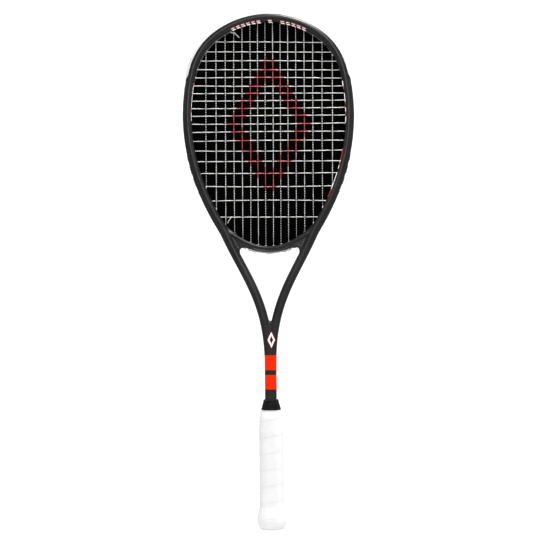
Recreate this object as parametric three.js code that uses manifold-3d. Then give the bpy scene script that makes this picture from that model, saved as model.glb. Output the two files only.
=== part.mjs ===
// A squash racket: a moulded hairpin frame with a throat bridge, one string laid as 16 mains and
// 19 crosses, grommet strips in the frame's outer groove, a bumper guard over the crown, and a
// handle of two foam halves, a butt cap and a wrapped grip, with a rubber collar at its top.
// Millimetres. +Z runs from the butt to the crown, X runs across the head, -Y is the front face.
// The origin is the middle of the butt's flat end.
import * as THREE from "three";
import { mergeVertices } from "three/addons/utils/BufferGeometryUtils.js";
import Module from "manifold-3d";

const wasm = await Module();
wasm.setup();

const GAP = 0.3; // between pieces that touch
const SEARCH_STEPS = 60;

// Frame outline, one half: crown arcs as [radius, angle from the axis where the arc ends], then a
// curve from the widest point to the knee of the leg, and one from the knee into the shaft.
const CROWN_Z = 683.8;
const CROWN_ARCS = [
  [121.3, 36.4],
  [89.8, 75.5],
  [247.2, 90],
];
const SIDE_PULL = 86.8;
const KNEE = [64.3, 390.2];
const KNEE_ANGLE = 24.6;
const KNEE_PULLS = [10, 67.7];
const SHAFT_HALF = 7.65;
const SHAFT_TOP_Z = 217.2;
const SHAFT_PULL = 83;
const TAIL_Z = 14;
const WIDEST_Z = 548;

// Frame beam: flat facets on both sides of a crest on each face, a little wider in the legs than
// in the hoop. The crest wanders from the middle of the crown to the inner edge by the throat.
const HOOP_WIDTH = 10.9;
const LEG_WIDTH = 11.4;
const LEG_WIDTH_ZS = [380, 450];
const BEAM_DEPTH = 19;
const FACETS = [
  [0, 0.53],
  [0.08, 0.7],
  [0.38, 1],
  [0.62, 1],
  [0.92, 0.7],
  [1, 0.53],
]; // half of the section: share of the way from the outer edge to the inner, share of the depth
const CREST_SHARE = 0.5; // where the crest lies among those shares
const CREST = [
  [0, 4.6],
  [90, 5.5],
  [180, 7.1],
  [300, 8.2],
  [360, 8.7],
  [440, 5.7],
]; // length from the crown, crest's distance from the outer edge
const BEAM_STEP = 15;
const LEG_JOIN_Z = 300;
const CROTCH_Z = 276;
const CROTCH_HALF = 3.7;
const CROTCH_DEPTH = 17;
const CROTCH_LENGTH = 22;
const CROTCH_FLARE = 2;

// Throat bridge: top and bottom edges of its right half, from the leg to the middle.
const BRIDGE_TOP = [
  [69, 420],
  [57.7, 397.7],
  [28, 375.5],
  [0, 375.5],
];
const BRIDGE_BOTTOM = [
  [39.5, 374.7],
  [29, 373.4],
  [18, 367.4],
  [0, 367.4],
];
const THROAT_CORNER = [44.2, 375.2];
const THROAT_LEG = [39.4, 365.6];
const BRIDGE_DEPTH = 17;
const BRIDGE_BEVEL = 2.4;
const BRIDGE_TIP_OVERLAP = 5; // the bridge's blank runs this far into each leg before it is cut
const BRIDGE_HEEL = [3.5, 8]; // and down each leg, [inward, down] from the throat's corner
const BEVEL_SEGMENTS = 2;
const CURVE_SEGMENTS = 10;

// Outer groove, and how far outside (+) or inside (-) the frame's edge each layer lies.
const GROOVE_HALF = 3.9;
const GROOVE_FLOOR = -2.6;
const GROOVE_END_Z = 389;
const STRIP_FLOOR = GROOVE_FLOOR + GAP;
const STRIP_TOP = -1.5;
const STRIP_HALF = 3.6;
const SEAT = -0.6;
const STRIP_STEP = 12;
const GROOVE_CUT_TOP = 3;

// Bumper guard: a channel whose two rails stand over the frame's outer edge.
const BUMPER_END_Z = 595;
const BUMPER_TOP = 1.7;
const BUMPER_HALF = 6;
const CHANNEL_HALF = 3;

// Side strips run from the bumper's ends to below the third main.
const SIDE_STRIP_ZS = [594, 391];

// Throat strip under the bridge, and the double grommets in the throat's corners.
const UNDER_FLOOR = GAP;
const UNDER_TOP = 1.1;
const UNDER_SEAT = 2;
const THROAT_STRIP_HALF = 27.5;
const THROAT_RAIL_TOP = 3.2;
const THROAT_RAIL_HALF = 2.2;
const CORNER_XS = [31, 39.2];
const CORNER_STEP = 3;
const THROAT_STRIP_STEP = THROAT_STRIP_HALF / 4;

// String: mains at x = a m + b m^3, crosses at z = middle - a m - b m^3, m counted in strings.
const STRING_RADIUS = 0.6;
const STRING_SIDES = 6;
const MAINS = 16;
const MAIN_SPACING = [9.89, 0.0228];
const CROSSES = 19;
const CROSS_MIDDLE_Z = 563;
const CROSS_FIRST = -7.5;
const CROSS_SPACING = 10;
const CROSS_SPREAD_UP = 0.02;
const CROSS_SPREAD_DOWN = 0.0385;
// How far right of their even places the mains' top and bottom holes are.
const MAIN_LEAN_TOP = 1.6;
const MAIN_LEAN_BOTTOM = 0.3;
// The crosses' left ends sit higher, and the upper crosses' right ends lower by a drop that fades.
const CROSS_RISE_LEFT = 1;
const CROSS_DROP_RIGHT = 2.2;
const CROSS_DROP_FADE = [4, 8];
const MAIN_LANE = 0.75;
const CROSS_LANE = -0.75;
const BYPASS_LANE = 2.25;
const LANE_SHIFT = 9;
const ROUTE_STEP = 9;
const TIE_OFF_SPACING = 5;
const KNOT_RADIUS = 1.6;
const KNOT_REACH = 2.4;

// Grommet barrels, and the holes that they fill.
const BORE_RADIUS = 0.9;
const BARREL_RADIUS = 1.5;
const HOLE_RADIUS = 1.8;
const MOUTH_PROUD = 1.6;
const TIP_SETBACK = 0.9;
const BORE_RUN_OUT = 2;
const DRILL_RUN_OUT = 1;

// Handle: one rounded section throughout, and profiles as [z, half width, half depth].
const HANDLE_SIDES = 16;
const HANDLE_POWER = 2.6;
const WRAP_PROFILE = [
  [2, 16.5, 13.8],
  [5, 18.8, 15.9],
  [12.7, 20.05, 17],
  [22, 18.6, 16.2],
  [31, 16.8, 14.8],
  [131, 16.8, 14.8],
  [150, 15.9, 14.4],
  [158.3, 13.3, 13.2],
  [158.5, 12.3, 12.4],
  [163, 11.2, 11.9],
];
const WRAP_THICKNESS = 1.5;
const WRAP_RUN_OUT = 2;
const CAP_RIM = [
  [0, 12, 9.6],
  [1.7, 16.2, 13.4],
];
const CAP_SKIRT = [
  [1.7, 14.7, 12],
  [5, 17, 14.1],
  [12.7, 18.2, 15.1],
  [22, 16.8, 14.4],
  [27, 15.8, 13.8],
];
const NECK = [13.6, 11.6];
const NECK_ZS = [3.3, 27.3];
const CAP_POCKET_ZS = [3, 28];
const CORE_PROFILE = [
  [27.3, 15, 13],
  [131, 15, 13],
  [150, 14, 12.5],
];
const BADGE = { halfWidth: 7.4, halfDepth: 5.4, low: 0.3, high: 1 };
const TAPE_ZS = [163.4, 167.4];
const TAPE_HALF = [9.6, 11.3];
const COLLAR_OUTSIDE = [
  [158.8, 13.35, 13.45],
  [163.4, 12.5, 13.1],
  [168, 11.2, 12.6],
  [170.6, 9.9, 11.6],
  [171.6, 9.1, 10.8],
];
const COLLAR_POCKET = [
  [158, 12.9, 13],
  [158.8, 12.75, 12.85],
  [163.2, 11.7, 12.4],
  [167.7, 10, 11.7],
];
const STAPLE = { z: 24, halfCrown: 3, wire: 0.7, leg: 3.5, side: 15.75, face: 13.6 };

const MATERIALS = {
  graphite: { color: 0x2c2c2d, roughness: 0.55, metalness: 0 },
  paleNylon: { color: 0xe6e6e2, roughness: 0.45, metalness: 0 },
  darkNylon: { color: 0x1b1b1c, roughness: 0.5, metalness: 0 },
  string: { color: 0xd9d9d6, roughness: 0.4, metalness: 0 },
  foam: { color: 0xb9a878, roughness: 0.9, metalness: 0 },
  cap: { color: 0xe2e2e0, roughness: 0.5, metalness: 0 },
  badge: { color: 0x2a2a2b, roughness: 0.35, metalness: 0 },
  steel: { color: 0x9a9c9f, roughness: 0.35, metalness: 1 },
  wrap: { color: 0xf0f0ee, roughness: 0.75, metalness: 0 },
  tape: { color: 0x202020, roughness: 0.6, metalness: 0 },
  rubber: { color: 0x121212, roughness: 0.7, metalness: 0 },
};

// ---- Curves -------------------------------------------------------------------------------

const polar = (degrees) => {
  const angle = THREE.MathUtils.degToRad(degrees);
  return new THREE.Vector2(Math.sin(angle), Math.cos(angle));
};

const bezier = (points) =>
  new THREE.CubicBezierCurve(...points.map((p) => new THREE.Vector2(...p)));

// The right half of the frame's outer edge, in the XZ plane, from the crown to the tail's end.
function halfOutline() {
  const curve = new THREE.CurvePath();
  let end = new THREE.Vector2(0, CROWN_Z);
  let from = 0;
  for (const [radius, to] of CROWN_ARCS) {
    const centre = end.clone().addScaledVector(polar(from), -radius);
    const start = THREE.MathUtils.degToRad(90 - from);
    const stop = THREE.MathUtils.degToRad(90 - to);
    curve.add(new THREE.EllipseCurve(centre.x, centre.y, radius, radius, start, stop, true));
    end = centre.addScaledVector(polar(to), radius);
    from = to;
  }
  const knee = new THREE.Vector2(...KNEE);
  const along = polar(KNEE_ANGLE);
  const shaftTop = new THREE.Vector2(SHAFT_HALF, SHAFT_TOP_Z);
  const sidePull = new THREE.Vector2(end.x, end.y - SIDE_PULL);
  const kneeIn = knee.clone().addScaledVector(along, KNEE_PULLS[0]);
  const kneeOut = knee.clone().addScaledVector(along, -KNEE_PULLS[1]);
  const shaftPull = new THREE.Vector2(SHAFT_HALF, SHAFT_TOP_Z + SHAFT_PULL);
  curve.add(new THREE.CubicBezierCurve(end, sidePull, kneeIn, knee));
  curve.add(new THREE.CubicBezierCurve(knee, kneeOut, shaftPull, shaftTop));
  curve.add(new THREE.LineCurve(shaftTop, new THREE.Vector2(SHAFT_HALF, TAIL_Z)));
  return curve;
}

const outline = halfOutline();
const OUTLINE_LENGTH = outline.getLength();
const bridgeTop = bezier(BRIDGE_TOP);
const bridgeBottom = bezier(BRIDGE_BOTTOM);

// The value between low and high where a cost with one dip is least.
function least(cost, low, high) {
  for (let i = 0; i < SEARCH_STEPS; i++) {
    const third = (high - low) / 3;
    if (cost(low + third) < cost(high - third)) high -= third;
    else low += third;
  }
  return (low + high) / 2;
}

// The frame's outer edge at a length s from the crown, negative on the left: a point and the
// direction out of the frame, both as (x, z).
function edge(s) {
  const t = Math.abs(s) / OUTLINE_LENGTH;
  const side = s < 0 ? -1 : 1;
  const point = outline.getPoint(t);
  const tangent = outline.getTangent(t);
  const out = s === 0 ? new THREE.Vector2(0, 1) : new THREE.Vector2(-tangent.y, tangent.x);
  return {
    point: new THREE.Vector2(point.x * side, point.y),
    out: new THREE.Vector2(out.x * side, out.y),
  };
}

// A point at length s, `outward` from the outer edge and `y` across the frame's depth.
function offEdge(s, outward, y) {
  const { point, out } = edge(s);
  return new THREE.Vector3(point.x + out.x * outward, y, point.y + out.y * outward);
}

const lengthAtZ = (z) => least((s) => Math.abs(edge(s).point.y - z), 0, OUTLINE_LENGTH);
const WIDEST_S = lengthAtZ(WIDEST_Z);
const SHAFT_TOP_S = lengthAtZ(SHAFT_TOP_Z);
const BRIDGE_S = least((s) => Math.abs(insideEdge(s).z - BRIDGE_TOP[0][1]), WIDEST_S, SHAFT_TOP_S);

function beamWidth(s) {
  const [low, high] = LEG_WIDTH_ZS;
  const share = THREE.MathUtils.smoothstep(edge(s).point.y, low, high);
  return THREE.MathUtils.lerp(LEG_WIDTH, HOOP_WIDTH, share);
}

// The crest's distance from the outer edge.
function crestAt(s) {
  const at = Math.abs(s);
  const next = CREST.findIndex(([length]) => length > at);
  if (next < 0) return CREST[CREST.length - 1][1];
  const [[from, low], [to, high]] = [CREST[next - 1], CREST[next]];
  return THREE.MathUtils.mapLinear(at, from, to, low, high);
}

function insideEdge(s) {
  return offEdge(s, -beamWidth(s), 0);
}

// ---- Solids -------------------------------------------------------------------------------

function solid(geometry) {
  const bare = geometry.clone();
  bare.deleteAttribute("normal");
  bare.deleteAttribute("uv");
  const merged = mergeVertices(bare);
  return new wasm.Manifold(
    new wasm.Mesh({
      numProp: 3,
      vertProperties: merged.attributes.position.array,
      triVerts: new Uint32Array(merged.index.array),
    }),
  );
}

function geometryOf(body) {
  const mesh = body.getMesh();
  const geometry = new THREE.BufferGeometry();
  geometry.setAttribute("position", new THREE.BufferAttribute(mesh.vertProperties, 3));
  geometry.setIndex(new THREE.BufferAttribute(mesh.triVerts, 1));
  geometry.computeVertexNormals();
  return geometry;
}

const joined = (bodies) => bodies.reduce((whole, body) => whole.add(body));
const without = (body, cutters) => cutters.reduce((left, cutter) => left.subtract(cutter), body);

// A section extruded through stations; `place` puts the section's point (u, v) at each of them.
function sweep(section, stations, place) {
  const steps = stations.length - 1;
  const geometry = new THREE.ExtrudeGeometry(new THREE.Shape(section), {
    steps,
    depth: 1,
    bevelEnabled: false,
  });
  const positions = geometry.attributes.position;
  for (let i = 0; i < positions.count; i++) {
    const station = stations[Math.round(positions.getZ(i) * steps)];
    const at = place(station, positions.getX(i), positions.getY(i));
    positions.setXYZ(i, at.x, at.y, at.z);
  }
  return solid(geometry);
}

function spaced(from, to, step) {
  const count = Math.ceil(Math.abs(to - from) / step);
  return Array.from({ length: count + 1 }, (_, i) => from + ((to - from) * i) / count);
}

// A closed section with rounded corners, inside the square from -1 to 1.
function roundedSection(sides, power) {
  return Array.from({ length: sides }, (_, i) => {
    const angle = (2 * Math.PI * i) / sides;
    const soften = (value) => Math.sign(value) * Math.abs(value) ** (2 / power);
    return new THREE.Vector2(soften(Math.cos(angle)), soften(Math.sin(angle)));
  });
}

const rectangle = (left, right, bottom, top) =>
  [
    [left, bottom],
    [right, bottom],
    [right, top],
    [left, top],
  ].map((p) => new THREE.Vector2(...p));

// A strip along the frame's outer edge; the section is (outward, -y).
const alongEdge = (section, stations) => sweep(section, stations, (s, u, v) => offEdge(s, u, -v));

// A straight rod from one point to another, longer by `extra` at each end.
function rod(from, to, radius, extra = 0) {
  const axis = to.clone().sub(from);
  const length = axis.length() + 2 * extra;
  const geometry = new THREE.CylinderGeometry(radius, radius, length, STRING_SIDES);
  const turn = new THREE.Quaternion().setFromUnitVectors(
    new THREE.Vector3(0, 1, 0),
    axis.normalize(),
  );
  geometry.applyQuaternion(turn);
  const middle = from.clone().add(to).multiplyScalar(0.5);
  geometry.translate(middle.x, middle.y, middle.z);
  return solid(geometry);
}

function box(width, depth, height, x, y, z) {
  const geometry = new THREE.BoxGeometry(width, depth, height);
  geometry.translate(x, y, z);
  return solid(geometry);
}

// ---- Frame and bridge ---------------------------------------------------------------------

// A stretch of the hairpin's beam, larger all round by `grow`.
function beam(stations, grow) {
  const face = FACETS.map(([inward, depth]) => new THREE.Vector2(-inward, depth));
  const otherFace = FACETS.map(([inward, depth]) => new THREE.Vector2(-inward, -depth)).reverse();
  return sweep([...face, ...otherFace], stations, (s, u, v) => {
    const width = beamWidth(s);
    const crest = crestAt(s);
    const share = -u / CREST_SHARE;
    const inward = share < 1 ? share * crest : crest + (share - 1) * (width - crest);
    const outward = (1 - (2 * inward) / width) * (width / 2 + grow) - width / 2;
    return offEdge(s, outward, -v * (BEAM_DEPTH / 2 + grow));
  });
}

// The whole hairpin: the hoop with its legs, and each leg carried on into its tail.
function hairpin(grow) {
  const join = lengthAtZ(LEG_JOIN_Z);
  const tail = [...spaced(join, SHAFT_TOP_S, BEAM_STEP), OUTLINE_LENGTH];
  const leftTail = tail.map((s) => -s).reverse();
  return joined([spaced(-join, join, BEAM_STEP), tail, leftTail].map((part) => beam(part, grow)));
}

// The filled crotch where the legs meet, with a round upper edge.
function crotch() {
  const shape = new THREE.Shape();
  const low = CROTCH_Z - CROTCH_LENGTH;
  const high = CROTCH_Z + CROTCH_HALF;
  shape.moveTo(-CROTCH_HALF, low);
  shape.lineTo(CROTCH_HALF, low);
  shape.lineTo(CROTCH_HALF + CROTCH_FLARE, high);
  shape.lineTo(CROTCH_HALF, high);
  shape.absarc(0, high, CROTCH_HALF, 0, Math.PI, true);
  shape.lineTo(-CROTCH_HALF - CROTCH_FLARE, high);
  return solid(standing(shape, CROTCH_DEPTH, 0));
}

// A shape drawn in (x, z), given a depth centred on y = 0 and bevelled edges.
function standing(shape, depth, bevel) {
  const geometry = new THREE.ExtrudeGeometry(shape, {
    depth: depth - 2 * bevel,
    bevelEnabled: bevel > 0,
    bevelThickness: bevel,
    bevelSize: bevel,
    bevelOffset: -bevel,
    bevelSegments: BEVEL_SEGMENTS,
    curveSegments: CURVE_SEGMENTS,
  });
  geometry.translate(0, 0, bevel - depth / 2);
  geometry.rotateX(Math.PI / 2);
  return geometry;
}

// The bridge before the frame is cut out of it.
function bridgeBlank() {
  const leg = new THREE.Vector2(THROAT_LEG[0] + LEG_WIDTH / 2, THROAT_LEG[1]);
  const tip = new THREE.Vector2(BRIDGE_TOP[0][0] + BRIDGE_TIP_OVERLAP, BRIDGE_TOP[0][1]);
  const heel = new THREE.Vector2(THROAT_LEG[0] - BRIDGE_HEEL[0], THROAT_LEG[1] - BRIDGE_HEEL[1]);
  const foot = new THREE.Vector2(heel.x + LEG_WIDTH / 2, heel.y);
  const shape = new THREE.Shape();
  const right = (p) => [p[0], p[1]];
  const left = (p) => [-p[0], p[1]];
  shape.moveTo(...left(BRIDGE_TOP[0]));
  shape.bezierCurveTo(...left(BRIDGE_TOP[1]), ...left(BRIDGE_TOP[2]), ...left(BRIDGE_TOP[3]));
  shape.bezierCurveTo(...right(BRIDGE_TOP[2]), ...right(BRIDGE_TOP[1]), ...right(BRIDGE_TOP[0]));
  shape.lineTo(tip.x, tip.y);
  shape.lineTo(leg.x, leg.y);
  shape.lineTo(foot.x, foot.y);
  shape.lineTo(heel.x, heel.y);
  shape.lineTo(...right(THROAT_LEG));
  shape.quadraticCurveTo(...right(THROAT_CORNER), ...right(BRIDGE_BOTTOM[0]));
  const [near, pull, lift, middle] = BRIDGE_BOTTOM;
  shape.bezierCurveTo(...right(pull), ...right(lift), ...right(middle));
  shape.bezierCurveTo(...left(lift), ...left(pull), ...left(near));
  shape.quadraticCurveTo(...left(THROAT_CORNER), ...left(THROAT_LEG));
  shape.lineTo(-heel.x, heel.y);
  shape.lineTo(-foot.x, foot.y);
  shape.lineTo(-leg.x, leg.y);
  shape.lineTo(-tip.x, tip.y);
  return solid(standing(shape, BRIDGE_DEPTH, BRIDGE_BEVEL));
}

// ---- String holes -------------------------------------------------------------------------

// A hole that a string passes through: `mouth` and `seat` are where the string turns inside and
// outside the head, and the barrel runs from `tip` to `plate`, the middle of its strip.
function hole(mouth, exit, lane, [seatOut, plateOut], home) {
  const out = exit.clone().sub(mouth).normalize();
  const at = (from, outward) => from.clone().addScaledVector(out, outward).setY(lane);
  return {
    mouth: at(mouth, 0),
    tip: at(mouth, TIP_SETBACK),
    plate: at(exit, plateOut),
    seat: at(exit, seatOut),
    home,
  };
}

const GROOVE_LAYERS = [SEAT, (STRIP_FLOOR + STRIP_TOP) / 2];
const UNDER_LAYERS = [UNDER_SEAT, (UNDER_FLOOR + UNDER_TOP) / 2];

const flat = (p) => new THREE.Vector3(p.x, 0, p.y);
const mirrored = (p, side) => new THREE.Vector3(p.x * side, p.y, p.z);

// Where a string turns inside the hoop at length s.
const hoopMouth = (s) => offEdge(s, -beamWidth(s) - MOUTH_PROUD, 0);

const sideStripName = (side) => (side < 0 ? "grommet_strip_left" : "grommet_strip_right");
const cornerName = (side) => (side < 0 ? "throat_grommet_left" : "throat_grommet_right");

// The strip that holds the barrel of a hole at length s.
function homeAt(s) {
  if (Math.abs(s) < lengthAtZ(BUMPER_END_Z)) return "bumper_guard";
  return sideStripName(s);
}

function hoopHole(s, lane) {
  return { ...hole(hoopMouth(s), offEdge(s, 0, 0), lane, GROOVE_LAYERS, homeAt(s)), s };
}

// A hole from a point on the bridge's top edge to the nearest point of the frame's outer edge.
function throughLeg(mouth, side, lane) {
  const away = (s) => Math.hypot(edge(s).point.x - mouth.x, edge(s).point.y - mouth.z);
  const s = side * least(away, WIDEST_S, SHAFT_TOP_S);
  return { ...hole(mirrored(mouth, side), offEdge(s, 0, 0), lane, GROOVE_LAYERS, homeAt(s)), s };
}

// A hole from a point on the bridge's top edge to the nearest point of its bottom edge.
function throughBridge(mouth, side, lane) {
  const away = (t) => flat(bridgeBottom.getPoint(t)).distanceTo(mouth);
  const exit = flat(bridgeBottom.getPoint(least(away, 0, 1)));
  const home = mouth.x < THROAT_STRIP_HALF ? "throat_grommet_strip" : cornerName(side);
  return hole(mirrored(mouth, side), mirrored(exit, side), lane, UNDER_LAYERS, home);
}

// Where a string turns above the bridge, at the point of its top edge where a cost is least.
function bridgeMouth(cost) {
  const t = least((u) => cost(bridgeTop.getPoint(u)), 0, 1);
  const point = bridgeTop.getPoint(t);
  return new THREE.Vector3(point.x, 0, point.y + MOUTH_PROUD);
}

// A main's hole at the crown end, at distance x from the middle.
function topHole(x) {
  const across = (s) => Math.abs(hoopMouth(s).x - Math.abs(x));
  return hoopHole(Math.sign(x) * least(across, 0, WIDEST_S), MAIN_LANE);
}

// A main's hole at the throat end, through the hoop or through the bridge.
function bottomHole(x) {
  const side = Math.sign(x);
  const reach = Math.abs(x);
  const across = (s) => Math.abs(hoopMouth(s).x - reach);
  if (reach > BRIDGE_TOP[0][0]) return hoopHole(side * least(across, WIDEST_S, BRIDGE_S), MAIN_LANE);
  const mouth = bridgeMouth((p) => Math.abs(p.x - reach));
  const through = reach > BRIDGE_BOTTOM[0][0] + LEG_WIDTH ? throughLeg : throughBridge;
  return through(mouth, side, MAIN_LANE);
}

// One hole of a cross at height z.
function crossHole(z, side) {
  if (z > BRIDGE_TOP[0][1]) {
    const s = least((u) => Math.abs(hoopMouth(u).z - z), 0, BRIDGE_S);
    return hoopHole(side * s, CROSS_LANE);
  }
  const mouth = bridgeMouth((p) => Math.abs(p.y + MOUTH_PROUD - z));
  return throughLeg(mouth, side, CROSS_LANE);
}

// Signed distances of the mains from the middle, in string counts: -7.5, -6.5 ... 7.5.
const mains = Array.from({ length: MAINS }, (_, k) => {
  const m = k - (MAINS - 1) / 2;
  const x = MAIN_SPACING[0] * m + MAIN_SPACING[1] * m ** 3;
  return { top: topHole(x + MAIN_LEAN_TOP), bottom: bottomHole(x + MAIN_LEAN_BOTTOM) };
});

const crosses = Array.from({ length: CROSSES }, (_, k) => {
  const m = k + CROSS_FIRST;
  const spread = m < 0 ? CROSS_SPREAD_UP : CROSS_SPREAD_DOWN;
  const z = CROSS_MIDDLE_Z - CROSS_SPACING * m - spread * m ** 3;
  const drop = CROSS_DROP_RIGHT * (1 - THREE.MathUtils.smoothstep(k, ...CROSS_DROP_FADE));
  return { left: crossHole(z + CROSS_RISE_LEFT, -1), right: crossHole(z - drop, 1) };
});

// The tie-off holes: below the third main on the left, and outside the fourth main at the crown.
const lowTie = tieHole(mains[2].bottom.s - TIE_OFF_SPACING, MAIN_LANE);
const highTie = hoopHole(mains[3].top.s - TIE_OFF_SPACING, CROSS_LANE);

// A tie-off hole through the bridge's end and the left leg.
function tieHole(s, lane) {
  const exit = offEdge(s, 0, 0);
  const away = (p) => Math.hypot(p.x + exit.x, p.y - exit.z);
  const mouth = mirrored(bridgeMouth(away), -1);
  return { ...hole(mouth, exit, lane, GROOVE_LAYERS, homeAt(s)), s };
}

const holes = [
  ...mains.flatMap(({ top, bottom }) => [top, bottom]),
  ...crosses.flatMap(({ left, right }) => [left, right]),
  lowTie,
  highTie,
];

// ---- String -------------------------------------------------------------------------------

// Points in the groove between two lengths along the edge, changing lane near the start.
function groovePoints(from, to, lanes, settle) {
  return spaced(from, to, ROUTE_STEP)
    .slice(1, -1)
    .map((s) => {
      const share = Math.min(Math.abs(s - from) / LANE_SHIFT, 1);
      const late = settle ? Math.max(0, 1 - Math.abs(to - s) / LANE_SHIFT) : 0;
      const lane = THREE.MathUtils.lerp(lanes[0], lanes[1], share);
      return offEdge(s, SEAT, THREE.MathUtils.lerp(lane, lanes[2], late));
    });
}

// The knot's point, a little further into the head than the string's turn.
function knotPoint({ mouth, seat }) {
  const inward = mouth.clone().sub(seat).normalize();
  return mouth.clone().addScaledVector(inward, KNOT_REACH);
}

// Points of the loop outside the frame between one hole and the next.
function loopPoints(from, to) {
  if (from.s === undefined || to.s === undefined) return [];
  const lane = from.seat.y;
  return groovePoints(from.s, to.s, [lane, lane, lane], false);
}

// Strings one after another, each given as the hole it enters by and the hole it leaves by.
function threaded(passes) {
  return passes.flatMap(([enter, leave], k) => {
    const next = passes[k + 1];
    const loop = next ? loopPoints(leave, next[0]) : [];
    return [enter.seat, enter.mouth, leave.mouth, leave.seat, ...loop];
  });
}

// The string's whole route, from the knot by the third main to the knot by the fourth.
function stringRoute() {
  const points = [knotPoint(lowTie), lowTie.mouth, lowTie.seat];
  const lanes = [MAIN_LANE, BYPASS_LANE, MAIN_LANE];
  points.push(...groovePoints(lowTie.s, mains[0].bottom.s, lanes, true));
  const upAndDown = mains.map(({ top, bottom }, k) => (k % 2 ? [top, bottom] : [bottom, top]));
  points.push(...threaded(upAndDown));
  const clear = crosses[CROSSES - 2].right.s;
  const ahead = mains[MAINS - 2].bottom.s;
  points.push(offEdge(clear, SEAT, MAIN_LANE), offEdge(ahead, SEAT, CROSS_LANE));
  const fromBelow = [...crosses].reverse();
  const toAndFro = fromBelow.map(({ left, right }, k) => (k % 2 ? [left, right] : [right, left]));
  points.push(...threaded(toAndFro));
  const end = crosses[0].left.s;
  points.push(...groovePoints(end, highTie.s, [CROSS_LANE, CROSS_LANE, CROSS_LANE], false));
  points.push(highTie.seat, highTie.mouth, knotPoint(highTie));
  return points;
}

// A string along points that lie in planes of nearly constant y, mitred at each of them.
function stringAlong(points) {
  const direction = (a, b) => new THREE.Vector2(b.x - a.x, b.z - a.z).normalize();
  const stations = points.map((point, i) => {
    const before = direction(points[Math.max(i - 1, 0)], points[Math.max(i, 1)]);
    const last = points.length - 1;
    const after = direction(points[Math.min(i, last - 1)], points[Math.min(i + 1, last)]);
    const tangent = before.clone().add(after).normalize();
    const widen = 1 / Math.sqrt((1 + before.dot(after)) / 2);
    return { point, side: new THREE.Vector2(-tangent.y, tangent.x).multiplyScalar(widen) };
  });
  const section = roundedSection(STRING_SIDES, 2).map((p) => p.multiplyScalar(STRING_RADIUS));
  return sweep(section, stations, ({ point, side }, u, v) => {
    return new THREE.Vector3(point.x + side.x * u, point.y - v, point.z + side.y * u);
  });
}

function knot(tie) {
  const at = knotPoint(tie);
  const geometry = new THREE.IcosahedronGeometry(KNOT_RADIUS, 1);
  geometry.translate(at.x, at.y, at.z);
  return solid(geometry);
}

const racketString = () => joined([stringAlong(stringRoute()), knot(lowTie), knot(highTie)]);

// ---- Grommet strips -----------------------------------------------------------------------

// Adds to a strip the barrels of its own holes, and bores them.
function withBarrels(strip, name) {
  const own = holes.filter(({ home }) => home === name);
  const barrels = own.map(({ tip, plate }) => rod(tip, plate, BARREL_RADIUS));
  const bores = own.map(({ mouth, seat }) => rod(mouth, seat, BORE_RADIUS, BORE_RUN_OUT));
  return without(joined([strip, ...barrels]), bores);
}

function bumperGuard() {
  const end = lengthAtZ(BUMPER_END_Z);
  const section = [
    [STRIP_FLOOR, -STRIP_HALF],
    [GAP, -STRIP_HALF],
    [GAP, -BUMPER_HALF],
    [BUMPER_TOP, -BUMPER_HALF],
    [BUMPER_TOP, -CHANNEL_HALF],
    [STRIP_TOP, -CHANNEL_HALF],
    [STRIP_TOP, CHANNEL_HALF],
    [BUMPER_TOP, CHANNEL_HALF],
    [BUMPER_TOP, BUMPER_HALF],
    [GAP, BUMPER_HALF],
    [GAP, STRIP_HALF],
    [STRIP_FLOOR, STRIP_HALF],
  ].map((p) => new THREE.Vector2(...p));
  return withBarrels(alongEdge(section, spaced(-end, end, STRIP_STEP)), "bumper_guard");
}

function sideStrip(side) {
  const [start, end] = SIDE_STRIP_ZS.map(lengthAtZ);
  const section = rectangle(STRIP_FLOOR, STRIP_TOP, -STRIP_HALF, STRIP_HALF);
  const stations = side < 0 ? spaced(-end, -start, STRIP_STEP) : spaced(start, end, STRIP_STEP);
  return withBarrels(alongEdge(section, stations), sideStripName(side));
}

// A strip below the bridge between two distances from the middle; the section is (down, y).
function alongBridge(section, stations) {
  return sweep(section, stations, (x, u, v) => {
    const t = least((q) => Math.abs(bridgeBottom.getPoint(q).x - Math.abs(x)), 0, 1);
    const point = bridgeBottom.getPoint(t);
    const tangent = bridgeBottom.getTangent(t);
    const down = new THREE.Vector2(-tangent.y, tangent.x).multiplyScalar(tangent.x > 0 ? -1 : 1);
    return new THREE.Vector3(
      Math.sign(x) * (point.x + down.x * u) || 0,
      v,
      point.y + down.y * u,
    );
  });
}

function throatStrip() {
  const section = [
    [UNDER_FLOOR, -CHANNEL_HALF],
    [THROAT_RAIL_TOP, -CHANNEL_HALF],
    [THROAT_RAIL_TOP, -THROAT_RAIL_HALF],
    [UNDER_TOP, -THROAT_RAIL_HALF],
    [UNDER_TOP, THROAT_RAIL_HALF],
    [THROAT_RAIL_TOP, THROAT_RAIL_HALF],
    [THROAT_RAIL_TOP, CHANNEL_HALF],
    [UNDER_FLOOR, CHANNEL_HALF],
  ].map((p) => new THREE.Vector2(...p));
  const stations = spaced(-THROAT_STRIP_HALF, THROAT_STRIP_HALF, THROAT_STRIP_STEP);
  return withBarrels(alongBridge(section, stations), "throat_grommet_strip");
}

function cornerGrommet(side) {
  const [near, far] = CORNER_XS.map((x) => x * side);
  const section = rectangle(UNDER_FLOOR, UNDER_TOP, -CHANNEL_HALF, CHANNEL_HALF);
  const stations = spaced(Math.min(near, far), Math.max(near, far), CORNER_STEP);
  return withBarrels(alongBridge(section, stations), cornerName(side));
}

// ---- Handle -------------------------------------------------------------------------------

const HANDLE_SECTION = roundedSection(HANDLE_SIDES, HANDLE_POWER);
const OVAL = roundedSection(HANDLE_SIDES, 2);

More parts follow.
